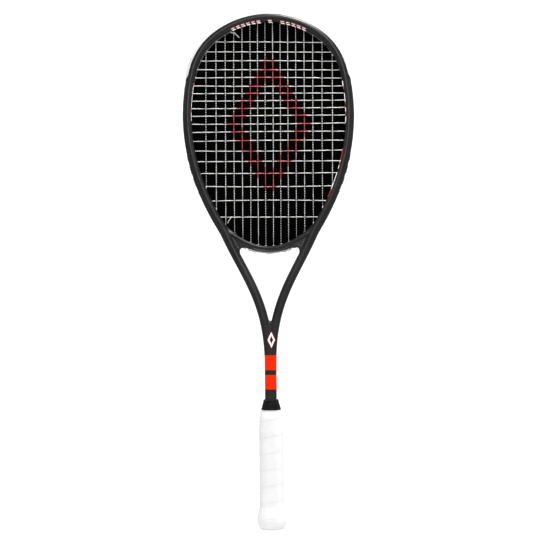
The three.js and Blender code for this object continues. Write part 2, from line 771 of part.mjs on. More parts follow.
// A loft along +Z through [z, half width, half depth] entries, smaller all round by `inset`.
const loft = (profile, inset = 0, section = HANDLE_SECTION) =>
  sweep(section, profile, ([z, halfWidth, halfDepth], u, v) => {
    return new THREE.Vector3(u * (halfWidth - inset), v * (halfDepth - inset), z);
  });

// A profile carried on straight past both of its ends, for a cutter.
function runOut(profile, extra) {
  const first = [profile[0][0] - extra, ...profile[0].slice(1)];
  const last = profile[profile.length - 1];
  return [first, ...profile, [last[0] + extra, ...last.slice(1)]];
}

function gripWrap(tails) {
  const inside = loft(runOut(WRAP_PROFILE, WRAP_RUN_OUT), WRAP_THICKNESS);
  return without(loft(WRAP_PROFILE), [inside, tails]);
}

// One staple, its crown across the handle's side and its legs into the core, grown by `grow`.
function staple(turns, grow) {
  const { z, halfCrown, wire, leg } = STAPLE;
  const out = turns % 2 ? STAPLE.face : STAPLE.side;
  const thick = wire + 2 * grow;
  const crown = box(thick, 2 * halfCrown + 2 * grow, thick, out, 0, z);
  const legs = [-1, 1].map((end) => {
    const x = out - leg / 2 + wire / 2;
    return box(leg + 2 * grow, thick, thick, x, end * (halfCrown - wire / 2), z);
  });
  const turn = new THREE.Matrix4().makeRotationZ((turns * Math.PI) / 2);
  return joined([crown, ...legs]).transform(turn.elements);
}

const STAPLE_TURNS = { right: 0, back: 1, left: 2, front: 3 };
const staplePockets = () => Object.values(STAPLE_TURNS).map((turns) => staple(turns, GAP));

function buttCap() {
  const pocket = CAP_POCKET_ZS.map((z) => [z, NECK[0] + GAP, NECK[1] + GAP]);
  const recess = [-BADGE.high, BADGE.high + GAP].map((z) => [
    z,
    BADGE.halfWidth + GAP,
    BADGE.halfDepth + GAP,
  ]);
  const body = loft([...CAP_RIM, ...CAP_SKIRT]);
  return without(body, [loft(pocket), loft(recess, 0, OVAL), ...staplePockets()]);
}

const buttMedallion = () =>
  loft([BADGE.low, BADGE.high].map((z) => [z, BADGE.halfWidth, BADGE.halfDepth]), 0, OVAL);

// Half of the foam core, in front of (-1) or behind (1) the frame's tails.
function handleCore(side, tails) {
  const neck = NECK_ZS.map((z) => [z, ...NECK]);
  const whole = loft([...neck, ...CORE_PROFILE]);
  const size = 2 * CORE_PROFILE[2][0];
  const half = box(size, size, size, 0, (side * (size + GAP)) / 2, 0);
  return without(whole.intersect(half), [tails, ...staplePockets()]);
}

const finishingTape = (tails) => without(loft(TAPE_ZS.map((z) => [z, ...TAPE_HALF])), [tails]);

function gripCollar(tails) {
  return without(loft(COLLAR_OUTSIDE), [loft(COLLAR_POCKET), tails]);
}

// ---- Assembly -----------------------------------------------------------------------------

const racket = new THREE.Group();

function addPart(name, body, material) {
  const mesh = new THREE.Mesh(
    geometryOf(body),
    new THREE.MeshStandardMaterial(MATERIALS[material]),
  );
  mesh.name = name;
  racket.add(mesh);
}

const drills = holes.map(({ mouth, seat }) => rod(mouth, seat, HOLE_RADIUS, DRILL_RUN_OUT));
const grooveEnd = lengthAtZ(GROOVE_END_Z);
const groove = alongEdge(
  rectangle(GROOVE_FLOOR, GROOVE_CUT_TOP, -GROOVE_HALF, GROOVE_HALF),
  spaced(-grooveEnd, grooveEnd, STRIP_STEP),
);
const tails = hairpin(GAP);

addPart("frame", without(hairpin(0).add(crotch()), [groove, ...drills]), "graphite");
addPart("throat_bridge", without(bridgeBlank(), [tails, groove, ...drills]), "graphite");
addPart("bumper_guard", bumperGuard(), "paleNylon");
addPart("grommet_strip_left", sideStrip(-1), "darkNylon");
addPart("grommet_strip_right", sideStrip(1), "darkNylon");
addPart("throat_grommet_strip", throatStrip(), "paleNylon");
addPart("throat_grommet_left", cornerGrommet(-1), "darkNylon");
addPart("throat_grommet_right", cornerGrommet(1), "darkNylon");
addPart("racket_string", racketString(), "string");
addPart("handle_core_front", handleCore(-1, tails), "foam");
addPart("handle_core_back", handleCore(1, tails), "foam");
addPart("butt_cap", buttCap(), "cap");
addPart("butt_medallion", buttMedallion(), "badge");
for (const [place, turns] of Object.entries(STAPLE_TURNS))
  addPart("cap_staple_" + place, staple(turns, 0), "steel");
addPart("grip_wrap", gripWrap(tails), "wrap");
addPart("finishing_tape", finishingTape(tails), "tape");
addPart("grip_collar", gripCollar(tails), "rubber");

export default racket;
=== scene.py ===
"""The looks of a strung squash racket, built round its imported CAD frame.

+Z runs from the butt to the crown, X across the head, and -Y is the front face. The helpers work
in millimetres, and the meshes are stored in metres.
"""

import math

import bmesh
import bpy
import numpy as np
from mathutils import Matrix, Vector, geometry, noise
from mathutils.bvhtree import BVHTree


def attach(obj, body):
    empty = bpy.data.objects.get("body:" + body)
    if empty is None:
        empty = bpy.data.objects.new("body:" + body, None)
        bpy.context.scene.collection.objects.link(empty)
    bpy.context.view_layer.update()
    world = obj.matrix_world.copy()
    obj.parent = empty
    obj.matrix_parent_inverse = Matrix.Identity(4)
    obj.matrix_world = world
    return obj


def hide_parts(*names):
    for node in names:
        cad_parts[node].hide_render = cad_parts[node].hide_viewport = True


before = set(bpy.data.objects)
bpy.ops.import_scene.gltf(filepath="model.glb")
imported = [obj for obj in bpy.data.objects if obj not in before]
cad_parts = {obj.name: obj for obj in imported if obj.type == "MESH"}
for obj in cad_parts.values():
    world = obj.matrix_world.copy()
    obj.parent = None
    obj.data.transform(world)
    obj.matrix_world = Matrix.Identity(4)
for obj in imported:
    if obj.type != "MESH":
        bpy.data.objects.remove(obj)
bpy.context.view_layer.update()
MM = 0.001

# ---- The racket's driving dimensions, as in the CAD ----

CROWN_Z = 683.8
CROWN_ARCS = [(121.3, 36.4), (89.8, 75.5), (247.2, 90.0)]
SIDE_PULL = 86.8
KNEE = np.array([64.3, 390.2])
KNEE_ANGLE = 24.6
KNEE_PULLS = (10.0, 67.7)
SHAFT_HALF = 7.65
SHAFT_TOP_Z = 217.2
SHAFT_PULL = 83.0
TAIL_Z = 60.0
WIDEST_Z = 548.0

HOOP_WIDTH = 10.9
LEG_WIDTH = 11.4
BEAM_HALF = 9.5
CREST = [(0, 4.6), (90, 5.5), (180, 7.1), (300, 8.2), (360, 8.7), (440, 5.7)]

BRIDGE_TOP = [(69, 420), (57.7, 397.7), (28, 375.5), (0, 375.5)]
BRIDGE_BOTTOM = [(39.5, 374.7), (29, 373.4), (18, 367.4), (0, 367.4)]
THROAT_CORNER = (42.2, 373.4)
THROAT_LEG = (38.2, 363.0)
THROAT_REACH = 34.5

GROOVE_HALF = 3.9
GROOVE_FLOOR = -2.6
GROOVE_END_Z = 389.0
STRIP_FLOOR = -2.3
STRIP_TOP = -1.5
SEAT = -0.6
BUMPER_END_Z = 595.0
SIDE_END_Z = 391.0
UNDER_SEAT = 2.0
UNDER_PLATE = 0.7

MAIN_LANE = 0.75
CROSS_LANE = -0.75
BYPASS_LANE = 2.25
MOUTH_PROUD = 1.6
STRING_DRAWN = 0.52
# Period and drift, in millimetres, of the painted shade dashes along the strings that run up the
# bed.
PAINTED_DASH_PERIOD = 3.3
DRIFT = 700.0

# ---- Curves ----


def polar(degrees):
    angle = math.radians(degrees)
    return np.array([math.sin(angle), math.cos(angle)])


def bezier(points, count=400):
    t = np.linspace(0, 1, count)[:, None]
    a, b, c, d = (np.array(p, float) for p in points)
    return (1 - t) ** 3 * a + 3 * (1 - t) ** 2 * t * b + 3 * (1 - t) * t * t * c + t**3 * d


def half_outline():
    """The right half of the frame's outer edge as (x, z), from the crown to the tail."""
    parts = []
    end = np.array([0.0, CROWN_Z])
    start = 0.0
    for radius, stop in CROWN_ARCS:
        centre = end - radius * polar(start)
        angles = np.radians(np.linspace(start, stop, 300))
        parts.append(centre + radius * np.stack([np.sin(angles), np.cos(angles)], 1))
        end = centre + radius * polar(stop)
        start = stop
    along = polar(KNEE_ANGLE)
    shaft_top = np.array([SHAFT_HALF, SHAFT_TOP_Z])
    parts.append(bezier([end, end - [0, SIDE_PULL], KNEE + KNEE_PULLS[0] * along, KNEE]))
    pulls = [KNEE - KNEE_PULLS[1] * along, shaft_top + [0, SHAFT_PULL]]
    parts.append(bezier([KNEE, *pulls, shaft_top]))
    parts.append(np.array([shaft_top, [SHAFT_HALF, TAIL_Z]]))
    line = np.concatenate(parts)
    kept = np.r_[True, np.linalg.norm(np.diff(line, axis=0), axis=1) > 1e-6]
    return line[kept]


OUTLINE = half_outline()
LENGTHS = np.r_[0, np.cumsum(np.linalg.norm(np.diff(OUTLINE, axis=0), axis=1))]
TANGENTS = np.gradient(OUTLINE, LENGTHS, axis=0)
TOP_LINE = bezier(BRIDGE_TOP, 4000)
BOTTOM_LINE = bezier(BRIDGE_BOTTOM, 4000)


def edge(s):
    """Points and outward directions, as (x, z), of the outer edge at lengths from the crown."""
    s = np.asarray(s, float)
    side = np.where(s < 0, -1.0, 1.0)
    at = np.abs(s)
    point = np.stack([np.interp(at, LENGTHS, OUTLINE[:, k]) for k in (0, 1)], -1)
    tangent = np.stack([np.interp(at, LENGTHS, TANGENTS[:, k]) for k in (0, 1)], -1)
    tangent /= np.linalg.norm(tangent, axis=-1, keepdims=True)
    out = np.stack([-tangent[..., 1], tangent[..., 0]], -1)
    point[..., 0] *= side
    out[..., 0] *= side
    return point, out


def off_edge(s, outward, y=0.0):
    """Points (x, y, z) at lengths s, a distance outward from the outer edge, at depth y."""
    point, out = edge(s)
    outward = np.asarray(outward, float)
    flat = point + out * outward[..., None]
    depth = np.broadcast_to(np.asarray(y, float), flat.shape[:-1])
    return np.stack([flat[..., 0], depth, flat[..., 1]], -1)


def smoothstep(value, low, high):
    t = np.clip((np.asarray(value, float) - low) / (high - low), 0, 1)
    return t * t * (3 - 2 * t)


def length_at(z):
    return float(LENGTHS[np.argmin(np.abs(OUTLINE[:, 1] - z))])


def beam_width(s):
    share = smoothstep(edge(s)[0][..., 1], 380, 450)
    return LEG_WIDTH + (HOOP_WIDTH - LEG_WIDTH) * share


def crest_at(s):
    return np.interp(np.abs(s), *zip(*CREST))


WIDEST_S = length_at(WIDEST_Z)
SHAFT_TOP_S = length_at(SHAFT_TOP_Z)
BUMPER_S = length_at(BUMPER_END_Z)
SIDE_S = length_at(SIDE_END_Z)
GROOVE_S = length_at(GROOVE_END_Z)
FINE_S = np.arange(0, SHAFT_TOP_S, 0.05)
FINE_MOUTHS = off_edge(FINE_S, -beam_width(FINE_S) - MOUTH_PROUD)
BRIDGE_S = FINE_S[FINE_S > WIDEST_S][
    np.argmin(np.abs(FINE_MOUTHS[FINE_S > WIDEST_S][:, 2] - BRIDGE_TOP[0][1]))
]

# ---- Mesh making ----


def rounded(sides, power):
    """A closed section with rounded corners, inside the square from -1 to 1."""
    angle = np.linspace(0, 2 * np.pi, sides, endpoint=False)
    wave = np.stack([np.cos(angle), np.sin(angle)], 1)
    return np.sign(wave) * np.abs(wave) ** (2 / power)


def filleted(points, trims, count=4):
    """A closed polygon with each corner cut back by its trim and rounded."""
    points = np.array(points, float)
    made = []
    for k, (corner, trim) in enumerate(zip(points, trims)):
        before, after = points[k - 1] - corner, points[(k + 1) % len(points)] - corner
        if trim <= 0:
            made.append(corner)
            continue
        sizes = [np.linalg.norm(v) for v in (before, after)]
        start = corner + before / sizes[0] * min(trim, 0.48 * sizes[0])
        stop = corner + after / sizes[1] * min(trim, 0.48 * sizes[1])
        for t in np.linspace(0, 1, count):
            made.append((1 - t) ** 2 * start + 2 * t * (1 - t) * corner + t * t * stop)
    return np.array(made)


def mirrored(half):
    """A section's (outward, y) corners on one face, carried on to the other."""
    return half + [(outward, -y) for outward, y in reversed(half)]


def swept(stations, section_at):
    """Rows of a section of (outward, y) along the outer edge."""
    rows = []
    for s in stations:
        section = section_at(s)
        rows.append(off_edge(np.full(len(section), s or 1e-6), *section.T))
    return np.array(rows)


def raw_mesh(name, points, faces):
    mesh = bpy.data.meshes.new(name)
    mesh.from_pydata(points, [], faces)
    return mesh


def in_scene(name, mesh, material=None):
    made = bpy.data.objects.new(name, mesh)
    bpy.context.scene.collection.objects.link(made)
    if material:
        mesh.materials.append(material)
    return made


class Shape:
    """Collects closed surfaces in millimetres for one mesh."""

    def __init__(self):
        self.points, self.faces, self.count = [], [], 0

    def grid(self, grid, ring=False, caps=True):
        """Rows of points round a section. A ring joins its last row to its first."""
        rows, count = grid.shape[:2]
        base = self.count
        i = np.arange(rows if ring else rows - 1)[:, None] * count
        following = (i + count) % (rows * count)
        j = np.arange(count)[None, :]
        turned = (j + 1) % count
        quads = np.stack([i + j, i + turned, following + turned, following + j], -1)
        self.faces += (quads.reshape(-1, 4) + base).tolist()
        if caps and not ring:
            self.faces.append([base + k for k in reversed(range(count))])
            self.faces.append([base + (rows - 1) * count + k for k in range(count)])
        self.points.append(grid.reshape(-1, 3))
        self.count += rows * count
        return self

    def make(self, name, material=None, sharp=40):
        mesh = raw_mesh(name, (np.concatenate(self.points) * MM).tolist(), self.faces)
        work = bmesh.new()
        work.from_mesh(mesh)
        bmesh.ops.recalc_face_normals(work, faces=work.faces)
        work.to_mesh(mesh)
        work.free()
        mesh.shade_smooth()
        mesh.set_sharp_from_angle(angle=math.radians(sharp))
        return in_scene(name, mesh, material)


def spaced(start, stop, step):
    return np.linspace(start, stop, max(2, int(math.ceil(abs(stop - start) / step)) + 1))


def tube(path, radius, sides=8):
    """Rows of points round a path; radius may vary along it."""
    path = np.asarray(path, float)
    tangent = np.gradient(path, axis=0)
    tangent /= np.linalg.norm(tangent, axis=1, keepdims=True)
    side = np.cross(tangent, [0.0, 1.0, 0.0])
    side /= np.linalg.norm(side, axis=1, keepdims=True)
    up = np.cross(side, tangent)
    angle = np.linspace(0, 2 * np.pi, sides, endpoint=False)[None, :, None]
    radius = np.broadcast_to(np.asarray(radius, float), len(path))[:, None, None]
    spread = np.cos(angle) * side[:, None] + np.sin(angle) * up[:, None]
    return path[:, None] + spread * radius


def resampled(path, step, soften):
    """A path in even steps, its corners softened over a length."""
    path = np.asarray(path, float)
    kept = np.r_[True, np.linalg.norm(np.diff(path, axis=0), axis=1) > 1e-6]
    path = path[kept]
    along = np.r_[0, np.cumsum(np.linalg.norm(np.diff(path, axis=0), axis=1))]
    fine = step / 2
    even = np.arange(0, along[-1], fine)
    line = np.stack([np.interp(even, along, path[:, k]) for k in range(3)], 1)
    reach = int(3 * soften / fine)
    kernel = np.exp(-0.5 * (np.arange(-reach, reach + 1) * fine / soften) ** 2)
    kernel /= kernel.sum()
    padded = np.concatenate([np.repeat(line[:1], reach, 0), line, np.repeat(line[-1:], reach, 0)])
    soft = np.stack([np.convolve(padded[:, k], kernel, "valid") for k in range(3)], 1)
    return soft[::2]


def placed(name, shape, material, body, *nodes, slot=None, sharp=40):
    """Makes a piece, puts it on a body and lets it stand for CAD nodes."""
    piece = shape if isinstance(shape, bpy.types.Object) else shape.make(name, material, sharp)
    if nodes:
        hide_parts(*nodes)
    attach(piece, body)
    return piece


# ---- Materials ----


def rgba(value):
    """A colour with its alpha. Sockets and numbers stay as they are."""
    return (*value, 1.0) if isinstance(value, tuple) else value


class Finish:
    """One procedural material under construction."""

    def __init__(self, name, roughness=0.5, metallic=0.0):
        self.material = bpy.data.materials.new(name)
        self.material.use_nodes = True
        self.tree = self.material.node_tree
        self.shader = self.tree.nodes["Principled BSDF"]
        self.shader.inputs["Metallic"].default_value = metallic
        self.shader.inputs["Roughness"].default_value = roughness
        self.here = self.node("ShaderNodeTexCoord").outputs["Object"]

    def node(self, kind, **settings):
        made = self.tree.nodes.new(kind)
        for key, value in settings.items():
            setattr(made, key, value)
        return made

    def feed(self, socket, value):
        if isinstance(value, bpy.types.NodeSocket):
            self.tree.links.new(value, socket)
        else:
            socket.default_value = value

    def math(self, operation, *values):
        made = self.node("ShaderNodeMath", operation=operation)
        for socket, value in zip(made.inputs, values):
            self.feed(socket, value)
        return made.outputs[0]

    def axis(self, letter):
        """A coordinate in millimetres."""
        made = self.node("ShaderNodeSeparateXYZ")
        self.feed(made.inputs[0], self.here)
        return self.math("MULTIPLY", made.outputs["XYZ".index(letter)], 1000.0)

    def noise(self, grain, detail=3.0, roughness=0.5, stretch=None):
        """Noise from 0 to 1 whose blotches are about grain millimetres across."""
        made = self.node("ShaderNodeTexNoise")
        made.inputs["Scale"].default_value = 1000.0 / grain
        made.inputs["Detail"].default_value = detail
        made.inputs["Roughness"].default_value = roughness
        vector = self.here
        if stretch:
            scaled = self.node("ShaderNodeVectorMath", operation="MULTIPLY")
            self.feed(scaled.inputs[0], self.here)
            scaled.inputs[1].default_value = stretch
            vector = scaled.outputs[0]
        self.feed(made.inputs["Vector"], vector)
        return made.outputs["Fac"]

    def spread(self, value, low, high, to_low=0.0, to_high=1.0):
        """The value mapped from one range onto another, and clamped."""
        made = self.node("ShaderNodeMapRange")
        for socket, number in zip(made.inputs, (value, low, high, to_low, to_high)):
            self.feed(socket, number)
        return made.outputs[0]

    def within(self, value, low, high, soft=0.05):
        """1 between two values and 0 outside them."""
        return self.math(
            "MULTIPLY",
            self.spread(value, low - soft, low + soft),
            self.spread(value, high + soft, high - soft),
        )

    def mix(self, share, first, second):
        made = self.node("ShaderNodeMix", data_type="RGBA")
        for k, value in ((0, share), (6, first), (7, second)):
            self.feed(made.inputs[k], rgba(value))
        return made.outputs[2]

    def lozenge(self, x, z, centre, half):
        """How far a point is from a lozenge's centre: 1 on its edge."""
        shares = []
        for value, middle, reach in zip((x, z), centre, half):
            offset = self.math("ABSOLUTE", self.math("SUBTRACT", value, middle))
            shares.append(self.math("DIVIDE", offset, reach))
        return self.math("ADD", *shares)

    def colour(self, value):
        self.feed(self.shader.inputs["Base Color"], rgba(value))

    def rough(self, value):
        self.feed(self.shader.inputs["Roughness"], value)

    def bump(self, height, depth, strength=1.0):
        """Relief depth millimetres high, on top of any relief already there."""
        made = self.node("ShaderNodeBump")
        made.inputs["Strength"].default_value = strength
        made.inputs["Distance"].default_value = depth * MM
        self.feed(made.inputs["Height"], height)
        normal = self.shader.inputs["Normal"]
        if normal.is_linked:
            self.tree.links.new(normal.links[0].from_socket, made.inputs["Normal"])
        self.tree.links.new(made.outputs[0], normal)

    def set(self, **values):
        for key, value in values.items():
            self.shader.inputs[key.replace("_", " ")].default_value = value
        return self


RED_PAINT = (0.76, 0.016, 0.001)
WHITE_PAINT = (0.86, 0.86, 0.86)
BANDS = [(211.6, 230.9), (186.2, 205.0)]
MARK_CENTRE = (1.5, 251.4)
MARK_HALF = (5.2, 11.2)
MARK_RIM = (0.60, 0.02, 0.02)
LACQUER = (0.0050, 0.0050, 0.0053), (0.0072, 0.0072, 0.0074)
LACQUER_SPECK = (0.018, 0.018, 0.019)


def graphite():
    """Matt charcoal lacquer, with red bands and a small lozenge painted on the shaft."""
    made = Finish("graphite_lacquer")
    x, y, z = (made.axis(letter) for letter in "XYZ")
    cloud = made.noise(22.0, 4.0)
    speck = made.noise(0.9, 2.0)
    dark = made.mix(made.spread(cloud, 0.35, 0.7), *LACQUER)
    dark = made.mix(made.spread(speck, 0.62, 0.78), dark, LACQUER_SPECK)
    band = made.math("MAXIMUM", *(made.within(z, low, high, 0.12) for low, high in BANDS))
    mottle = made.spread(made.noise(6.0, 3.0), 0.3, 0.75)
    red = made.mix(mottle, RED_PAINT, tuple(0.93 * c for c in RED_PAINT))
    body = made.mix(band, dark, red)
    lozenge = made.lozenge(x, z, MARK_CENTRE, MARK_HALF)
    on_face = made.spread(made.math("ABSOLUTE", y), 5.0, 5.5)
    rim = made.math("MULTIPLY", made.within(lozenge, 0.42, 1.0, 0.02), on_face)
    core = made.math("MULTIPLY", made.within(lozenge, 0.52, 0.90, 0.02), on_face)
    body = made.mix(rim, body, MARK_RIM)
    body = made.mix(core, body, WHITE_PAINT)
    made.colour(body)
    scuff = made.spread(made.noise(3.0, 5.0, stretch=(1, 1, 0.4)), 0.58, 0.75)
    worn = made.math("MULTIPLY", scuff, 0.10)
    made.rough(made.math("ADD", made.spread(cloud, 0.3, 0.7, 0.30, 0.37), worn))
    made.bump(speck, 0.012, 0.6)
    made.bump(made.noise(4.0, 3.0), 0.03, 0.25)
    made.feed(made.shader.inputs["Specular IOR Level"], made.spread(band, 0.0, 1.0, 0.2, 0.03))
    return made.material


def nylon(name, light, dark, grain=1.5, roughness=(0.38, 0.55)):
    """Moulded nylon with faint flow marks and scuffs."""
    made = Finish(name)
    flow = made.noise(grain * 4, 4.0)
    fine = made.noise(grain * 0.35, 2.0)
    body = made.mix(made.spread(flow, 0.3, 0.7), light, dark)
    scuff = made.spread(made.noise(2.2, 6.0, 0.65), 0.6, 0.72)
    worn = tuple(c * 0.72 + 0.02 for c in light)
    made.colour(made.mix(made.math("MULTIPLY", scuff, 0.5), body, worn))
    made.rough(made.spread(flow, 0.3, 0.7, *roughness))
    made.bump(fine, 0.02, 0.5)
    made.bump(scuff, 0.03, 0.5)
    return made.material


STENCIL_CENTRE = (1.0, 536.0)
STENCIL_HALF = (57.0, 97.0)


def string_finish():
    """Pale nylon string, with a plain lozenge ring stencilled on the bed in red ink, and painted
    shade that darkens it in short dashes along the strings that run up the bed.
    """
    made = Finish("string_nylon", 0.35)
    x, z = made.axis("X"), made.axis("Z")
    lozenge = made.lozenge(x, z, STENCIL_CENTRE, STENCIL_HALF)
    fuzz = made.spread(made.noise(1.6, 3.0), 0.3, 0.7, -0.012, 0.012)
    ink = made.within(made.math("ADD", lozenge, fuzz), 0.66, 1.0, 0.008)
    patchy = made.math("MULTIPLY", ink, made.spread(made.noise(2.5, 3.0), 0.25, 0.6, 0.72, 1.0))
    # Painted shade: where the shade attribute falls, the string and its ink are darkened, in
    # dashes.
    dash_shade = made.node("ShaderNodeAttribute", attribute_name="shade").outputs["Fac"]
    pale = made.mix(made.noise(5.0, 2.0), (0.50, 0.50, 0.49), (0.42, 0.42, 0.41))
    pale = made.mix(dash_shade, (0.015, 0.015, 0.015), pale)
    inked = made.mix(dash_shade, (0.10, 0.006, 0.007), (0.34, 0.014, 0.018))
    made.colour(made.mix(patchy, pale, inked))
    made.rough(made.spread(made.noise(3.0), 0.3, 0.7, 0.28, 0.42))
    made.bump(made.noise(0.25, 2.0, stretch=(1, 1, 0.35)), 0.02, 0.4)
    made.set(Coat_Weight=0.25, Coat_Roughness=0.2)
    return made.material


def grip_finish():
    """White synthetic grip with a fine pebble grain."""
    made = Finish("grip_white")
    pebble = made.node("ShaderNodeTexVoronoi", feature="F1")
    pebble.inputs["Scale"].default_value = 1000.0 / 0.85
    made.feed(pebble.inputs["Vector"], made.here)
    grain = made.spread(pebble.outputs["Distance"], 0.1, 0.75)
    soft = made.noise(9.0, 3.0)
    body = made.mix(made.spread(soft, 0.3, 0.7), (0.57, 0.57, 0.57), (0.54, 0.54, 0.545))
    made.colour(made.mix(made.math("MULTIPLY", grain, 0.10), body, (0.48, 0.48, 0.49)))
    made.rough(made.spread(grain, 0.0, 1.0, 0.58, 0.74))
    made.bump(grain, -0.05, 0.6)
    made.bump(made.noise(3.0, 3.0), 0.08, 0.3)
    return made.material


def rubber_finish():
    made = Finish("collar_rubber")
    bloom = made.noise(5.0, 4.0)
    tones = (0.0025, 0.0025, 0.0025), (0.006, 0.006, 0.0064)
    made.colour(made.mix(made.spread(bloom, 0.4, 0.75), *tones))
    made.rough(made.spread(bloom, 0.3, 0.7, 0.5, 0.62))
    made.set(Specular_IOR_Level=0.06)
    made.bump(made.noise(0.5, 3.0), 0.03, 0.5)
    return made.material


def foam_finish():
    made = Finish("core_foam", 0.9)
    cell = made.noise(0.8, 4.0)
    made.colour(made.mix(cell, (0.50, 0.41, 0.20), (0.40, 0.31, 0.14)))
    made.bump(cell, 0.2, 0.8)
    return made.material


def steel_finish():
    made = Finish("staple_steel", 0.35, 1.0)
    drawn = made.noise(0.5, 3.0, stretch=(1, 1, 4))
    made.colour(made.mix(drawn, (0.50, 0.51, 0.53), (0.36, 0.37, 0.39)))
    made.rough(made.spread(drawn, 0.3, 0.7, 0.28, 0.45))
    return made.material


def paint_finish(name, tone, glow):
    """Bright paint with an emission of its own: a painted glow that keeps the marks bright on the
    shaded inner wall.
    """
    made = Finish(name, 0.45)
    made.shader.inputs["Emission Color"].default_value = (*tone, 1.0)
    made.shader.inputs["Emission Strength"].default_value = glow
    wear = made.spread(made.noise(1.5, 4.0), 0.3, 0.75)
    made.colour(made.mix(wear, tone, tuple(c * 0.88 for c in tone)))
    made.rough(made.spread(wear, 0.0, 1.0, 0.38, 0.5))
    made.bump(made.noise(0.8, 2.0), 0.01, 0.5)
    return made.material


GRAPHITE = graphite()
PALE = nylon("pale_nylon", (0.42, 0.42, 0.41), (0.37, 0.37, 0.36))
CAP = nylon("cap_plastic", (0.74, 0.74, 0.72), (0.68, 0.68, 0.66))
DARK = nylon("dark_nylon", (0.013, 0.013, 0.013), (0.020, 0.020, 0.020))
BADGE = nylon("badge_plastic", (0.022, 0.022, 0.023), (0.030, 0.030, 0.031), roughness=(0.2, 0.3))
TAPE = nylon("tape_vinyl", (0.013, 0.013, 0.014), (0.022, 0.022, 0.023), roughness=(0.45, 0.6))
STRING = string_finish()
GRIP = grip_finish()
RUBBER = rubber_finish()
FOAM = foam_finish()
STEEL = steel_finish()
# The last number is the strength of each paint's painted glow.
MARK_WHITE = paint_finish("mark_white", (0.88, 0.88, 0.88), 0.45)
MARK_RED = paint_finish("mark_red", (0.50, 0.02, 0.03), 0.15)

# ---- Frame and bridge ----


def beam_section(s):
    """The beam's section at one length: (outward, y), facets either side of a soft crest."""
    width, crest = float(beam_width(s)), float(crest_at(s))
    z = float(edge(s)[0][1])
    shoulder = 6.3 + 1.9 * float(1 - smoothstep(z, 330, 420))
    peak = BEAM_HALF + 0.35 * float(smoothstep(z, 330, 420))
    soften = 2.3 + 1.2 * float(1 - smoothstep(z, 330, 420))
    depth = GROOVE_FLOOR * float(smoothstep(GROOVE_S + 4 - abs(s), 0, 8))
    inner = width + 0.4 + 0.5 * math.exp(-((s / 60) ** 2))
    half = [(0.25, 5.0), (-0.25, shoulder), (-crest, peak), (0.5 - inner, shoulder), (-inner, 5.0)]
    trims = [0.0, 1.0, 1.5, soften, 1.5, 1.2]
    back = filleted(mirrored([(0, GROOVE_HALF), *half]), trims + trims[::-1])
    floor = [(depth, 0.1 - GROOVE_HALF), (depth, 0.0), (depth, GROOVE_HALF - 0.1)]
    return np.concatenate([back, floor])


def hairpin():
    return swept(spaced(-LENGTHS[-1], LENGTHS[-1], 2.0), beam_section)


def shaft_core():
    """Fills the shaft between the two legs' tails."""
    profile = [
        (TAIL_Z, 7.3, 9.35), (217, 7.3, 9.35), (236, 7.7, 9.3),
        (250, 8.6, 9.1), (262, 9.0, 8.5), (270, 8.0, 6.5),
    ]
    section = rounded(40, 3.6)
    return np.array([np.c_[section * [w, d], np.full(len(section), z)] for z, w, d in profile])


def prism(outline, half_depth, bevel):
    """A shape drawn in (x, z), given a depth and bevelled faces."""
    outline = np.array(outline, float)
    after, before = np.roll(outline, -1, 0), np.roll(outline, 1, 0)
    turn = after - before
    normal = np.stack([turn[:, 1], -turn[:, 0]], 1)
    normal /= np.linalg.norm(normal, axis=1, keepdims=True)
    area = np.sum(outline[:, 0] * after[:, 1] - after[:, 0] * outline[:, 1])
    inset = outline - normal * bevel * np.sign(area)
    edge_y = half_depth - bevel
    layers = (inset, -half_depth), (outline, -edge_y), (outline, edge_y), (inset, half_depth)
    rows = []
    for points, y in layers:
        rows.append(np.stack([points[:, 0], np.full(len(points), y), points[:, 1]], 1))
    return np.array(rows)


def crotch_outline():
    half, low, high = 3.7, 254.0, 279.7
    angle = np.linspace(math.pi, 2 * math.pi, 13)
    arc = np.stack([half * np.cos(angle), high + half * np.sin(angle)], 1)
    return [(-half, low), (-half - 2.2, high), *arc.tolist(), (half + 2.2, high), (half, low)]


def both_sides(points):
    """A right-half line that ends on the middle, carried on to the left."""
    points = np.array(points, float)
    return np.concatenate([points, points[::-1][1:] * [-1, 1]])


def bridge_outline():
    top = both_sides(bezier(BRIDGE_TOP, 24))[::-1]
    bottom = bezier(BRIDGE_BOTTOM, 40)
    bottom = bottom[bottom[:, 0] < THROAT_REACH]
    t = np.linspace(0, 1, 12)[:-1, None]
    leg, knee = np.array(THROAT_LEG), np.array(THROAT_CORNER)
    corner = (1 - t) ** 2 * leg + 2 * t * (1 - t) * knee + t * t * bottom[0]
    lower = both_sides(np.concatenate([corner, bottom]))
    x, z = THROAT_LEG
    top_x, top_z = BRIDGE_TOP[0]
    right = [(top_x + 5, top_z), (x + 5.7, z), (x + 2.2, z - 8), (x - 3.5, z - 8)]
    left = [(-a, b) for a, b in reversed(right)]
    return np.concatenate([top, right, lower, left])


def bridge_taper(x):
    """How far the bridge thins and sinks into the legs at its ends, from 0 to 1."""
    return smoothstep(np.abs(x), 34, 66)


def bridge_rail(line, inward, half_height, half_depth, ends):
    """A rounded rail along one edge of the bridge, inward from it, that sinks in at its ends."""
    line = both_sides(line)
    line = line[np.abs(line[:, 0]) <= ends[1]]
    tangent = np.gradient(line, axis=0)
    tangent /= np.linalg.norm(tangent, axis=1, keepdims=True)
    normal = np.stack([-tangent[:, 1], tangent[:, 0]], 1)
    section = rounded(24, 2.6)
    rows = []
    for (x, z), (nx, nz) in zip(line, normal):
        ease = float(smoothstep(abs(x), *ends))
        shift = inward * (1 + 1.0 * ease) + section[:, 1] * half_height
        depth = half_depth * (1 - 0.34 * ease)
        rows.append(np.stack([x + nx * shift, section[:, 0] * depth, z + nz * shift], 1))
    return np.array(rows)


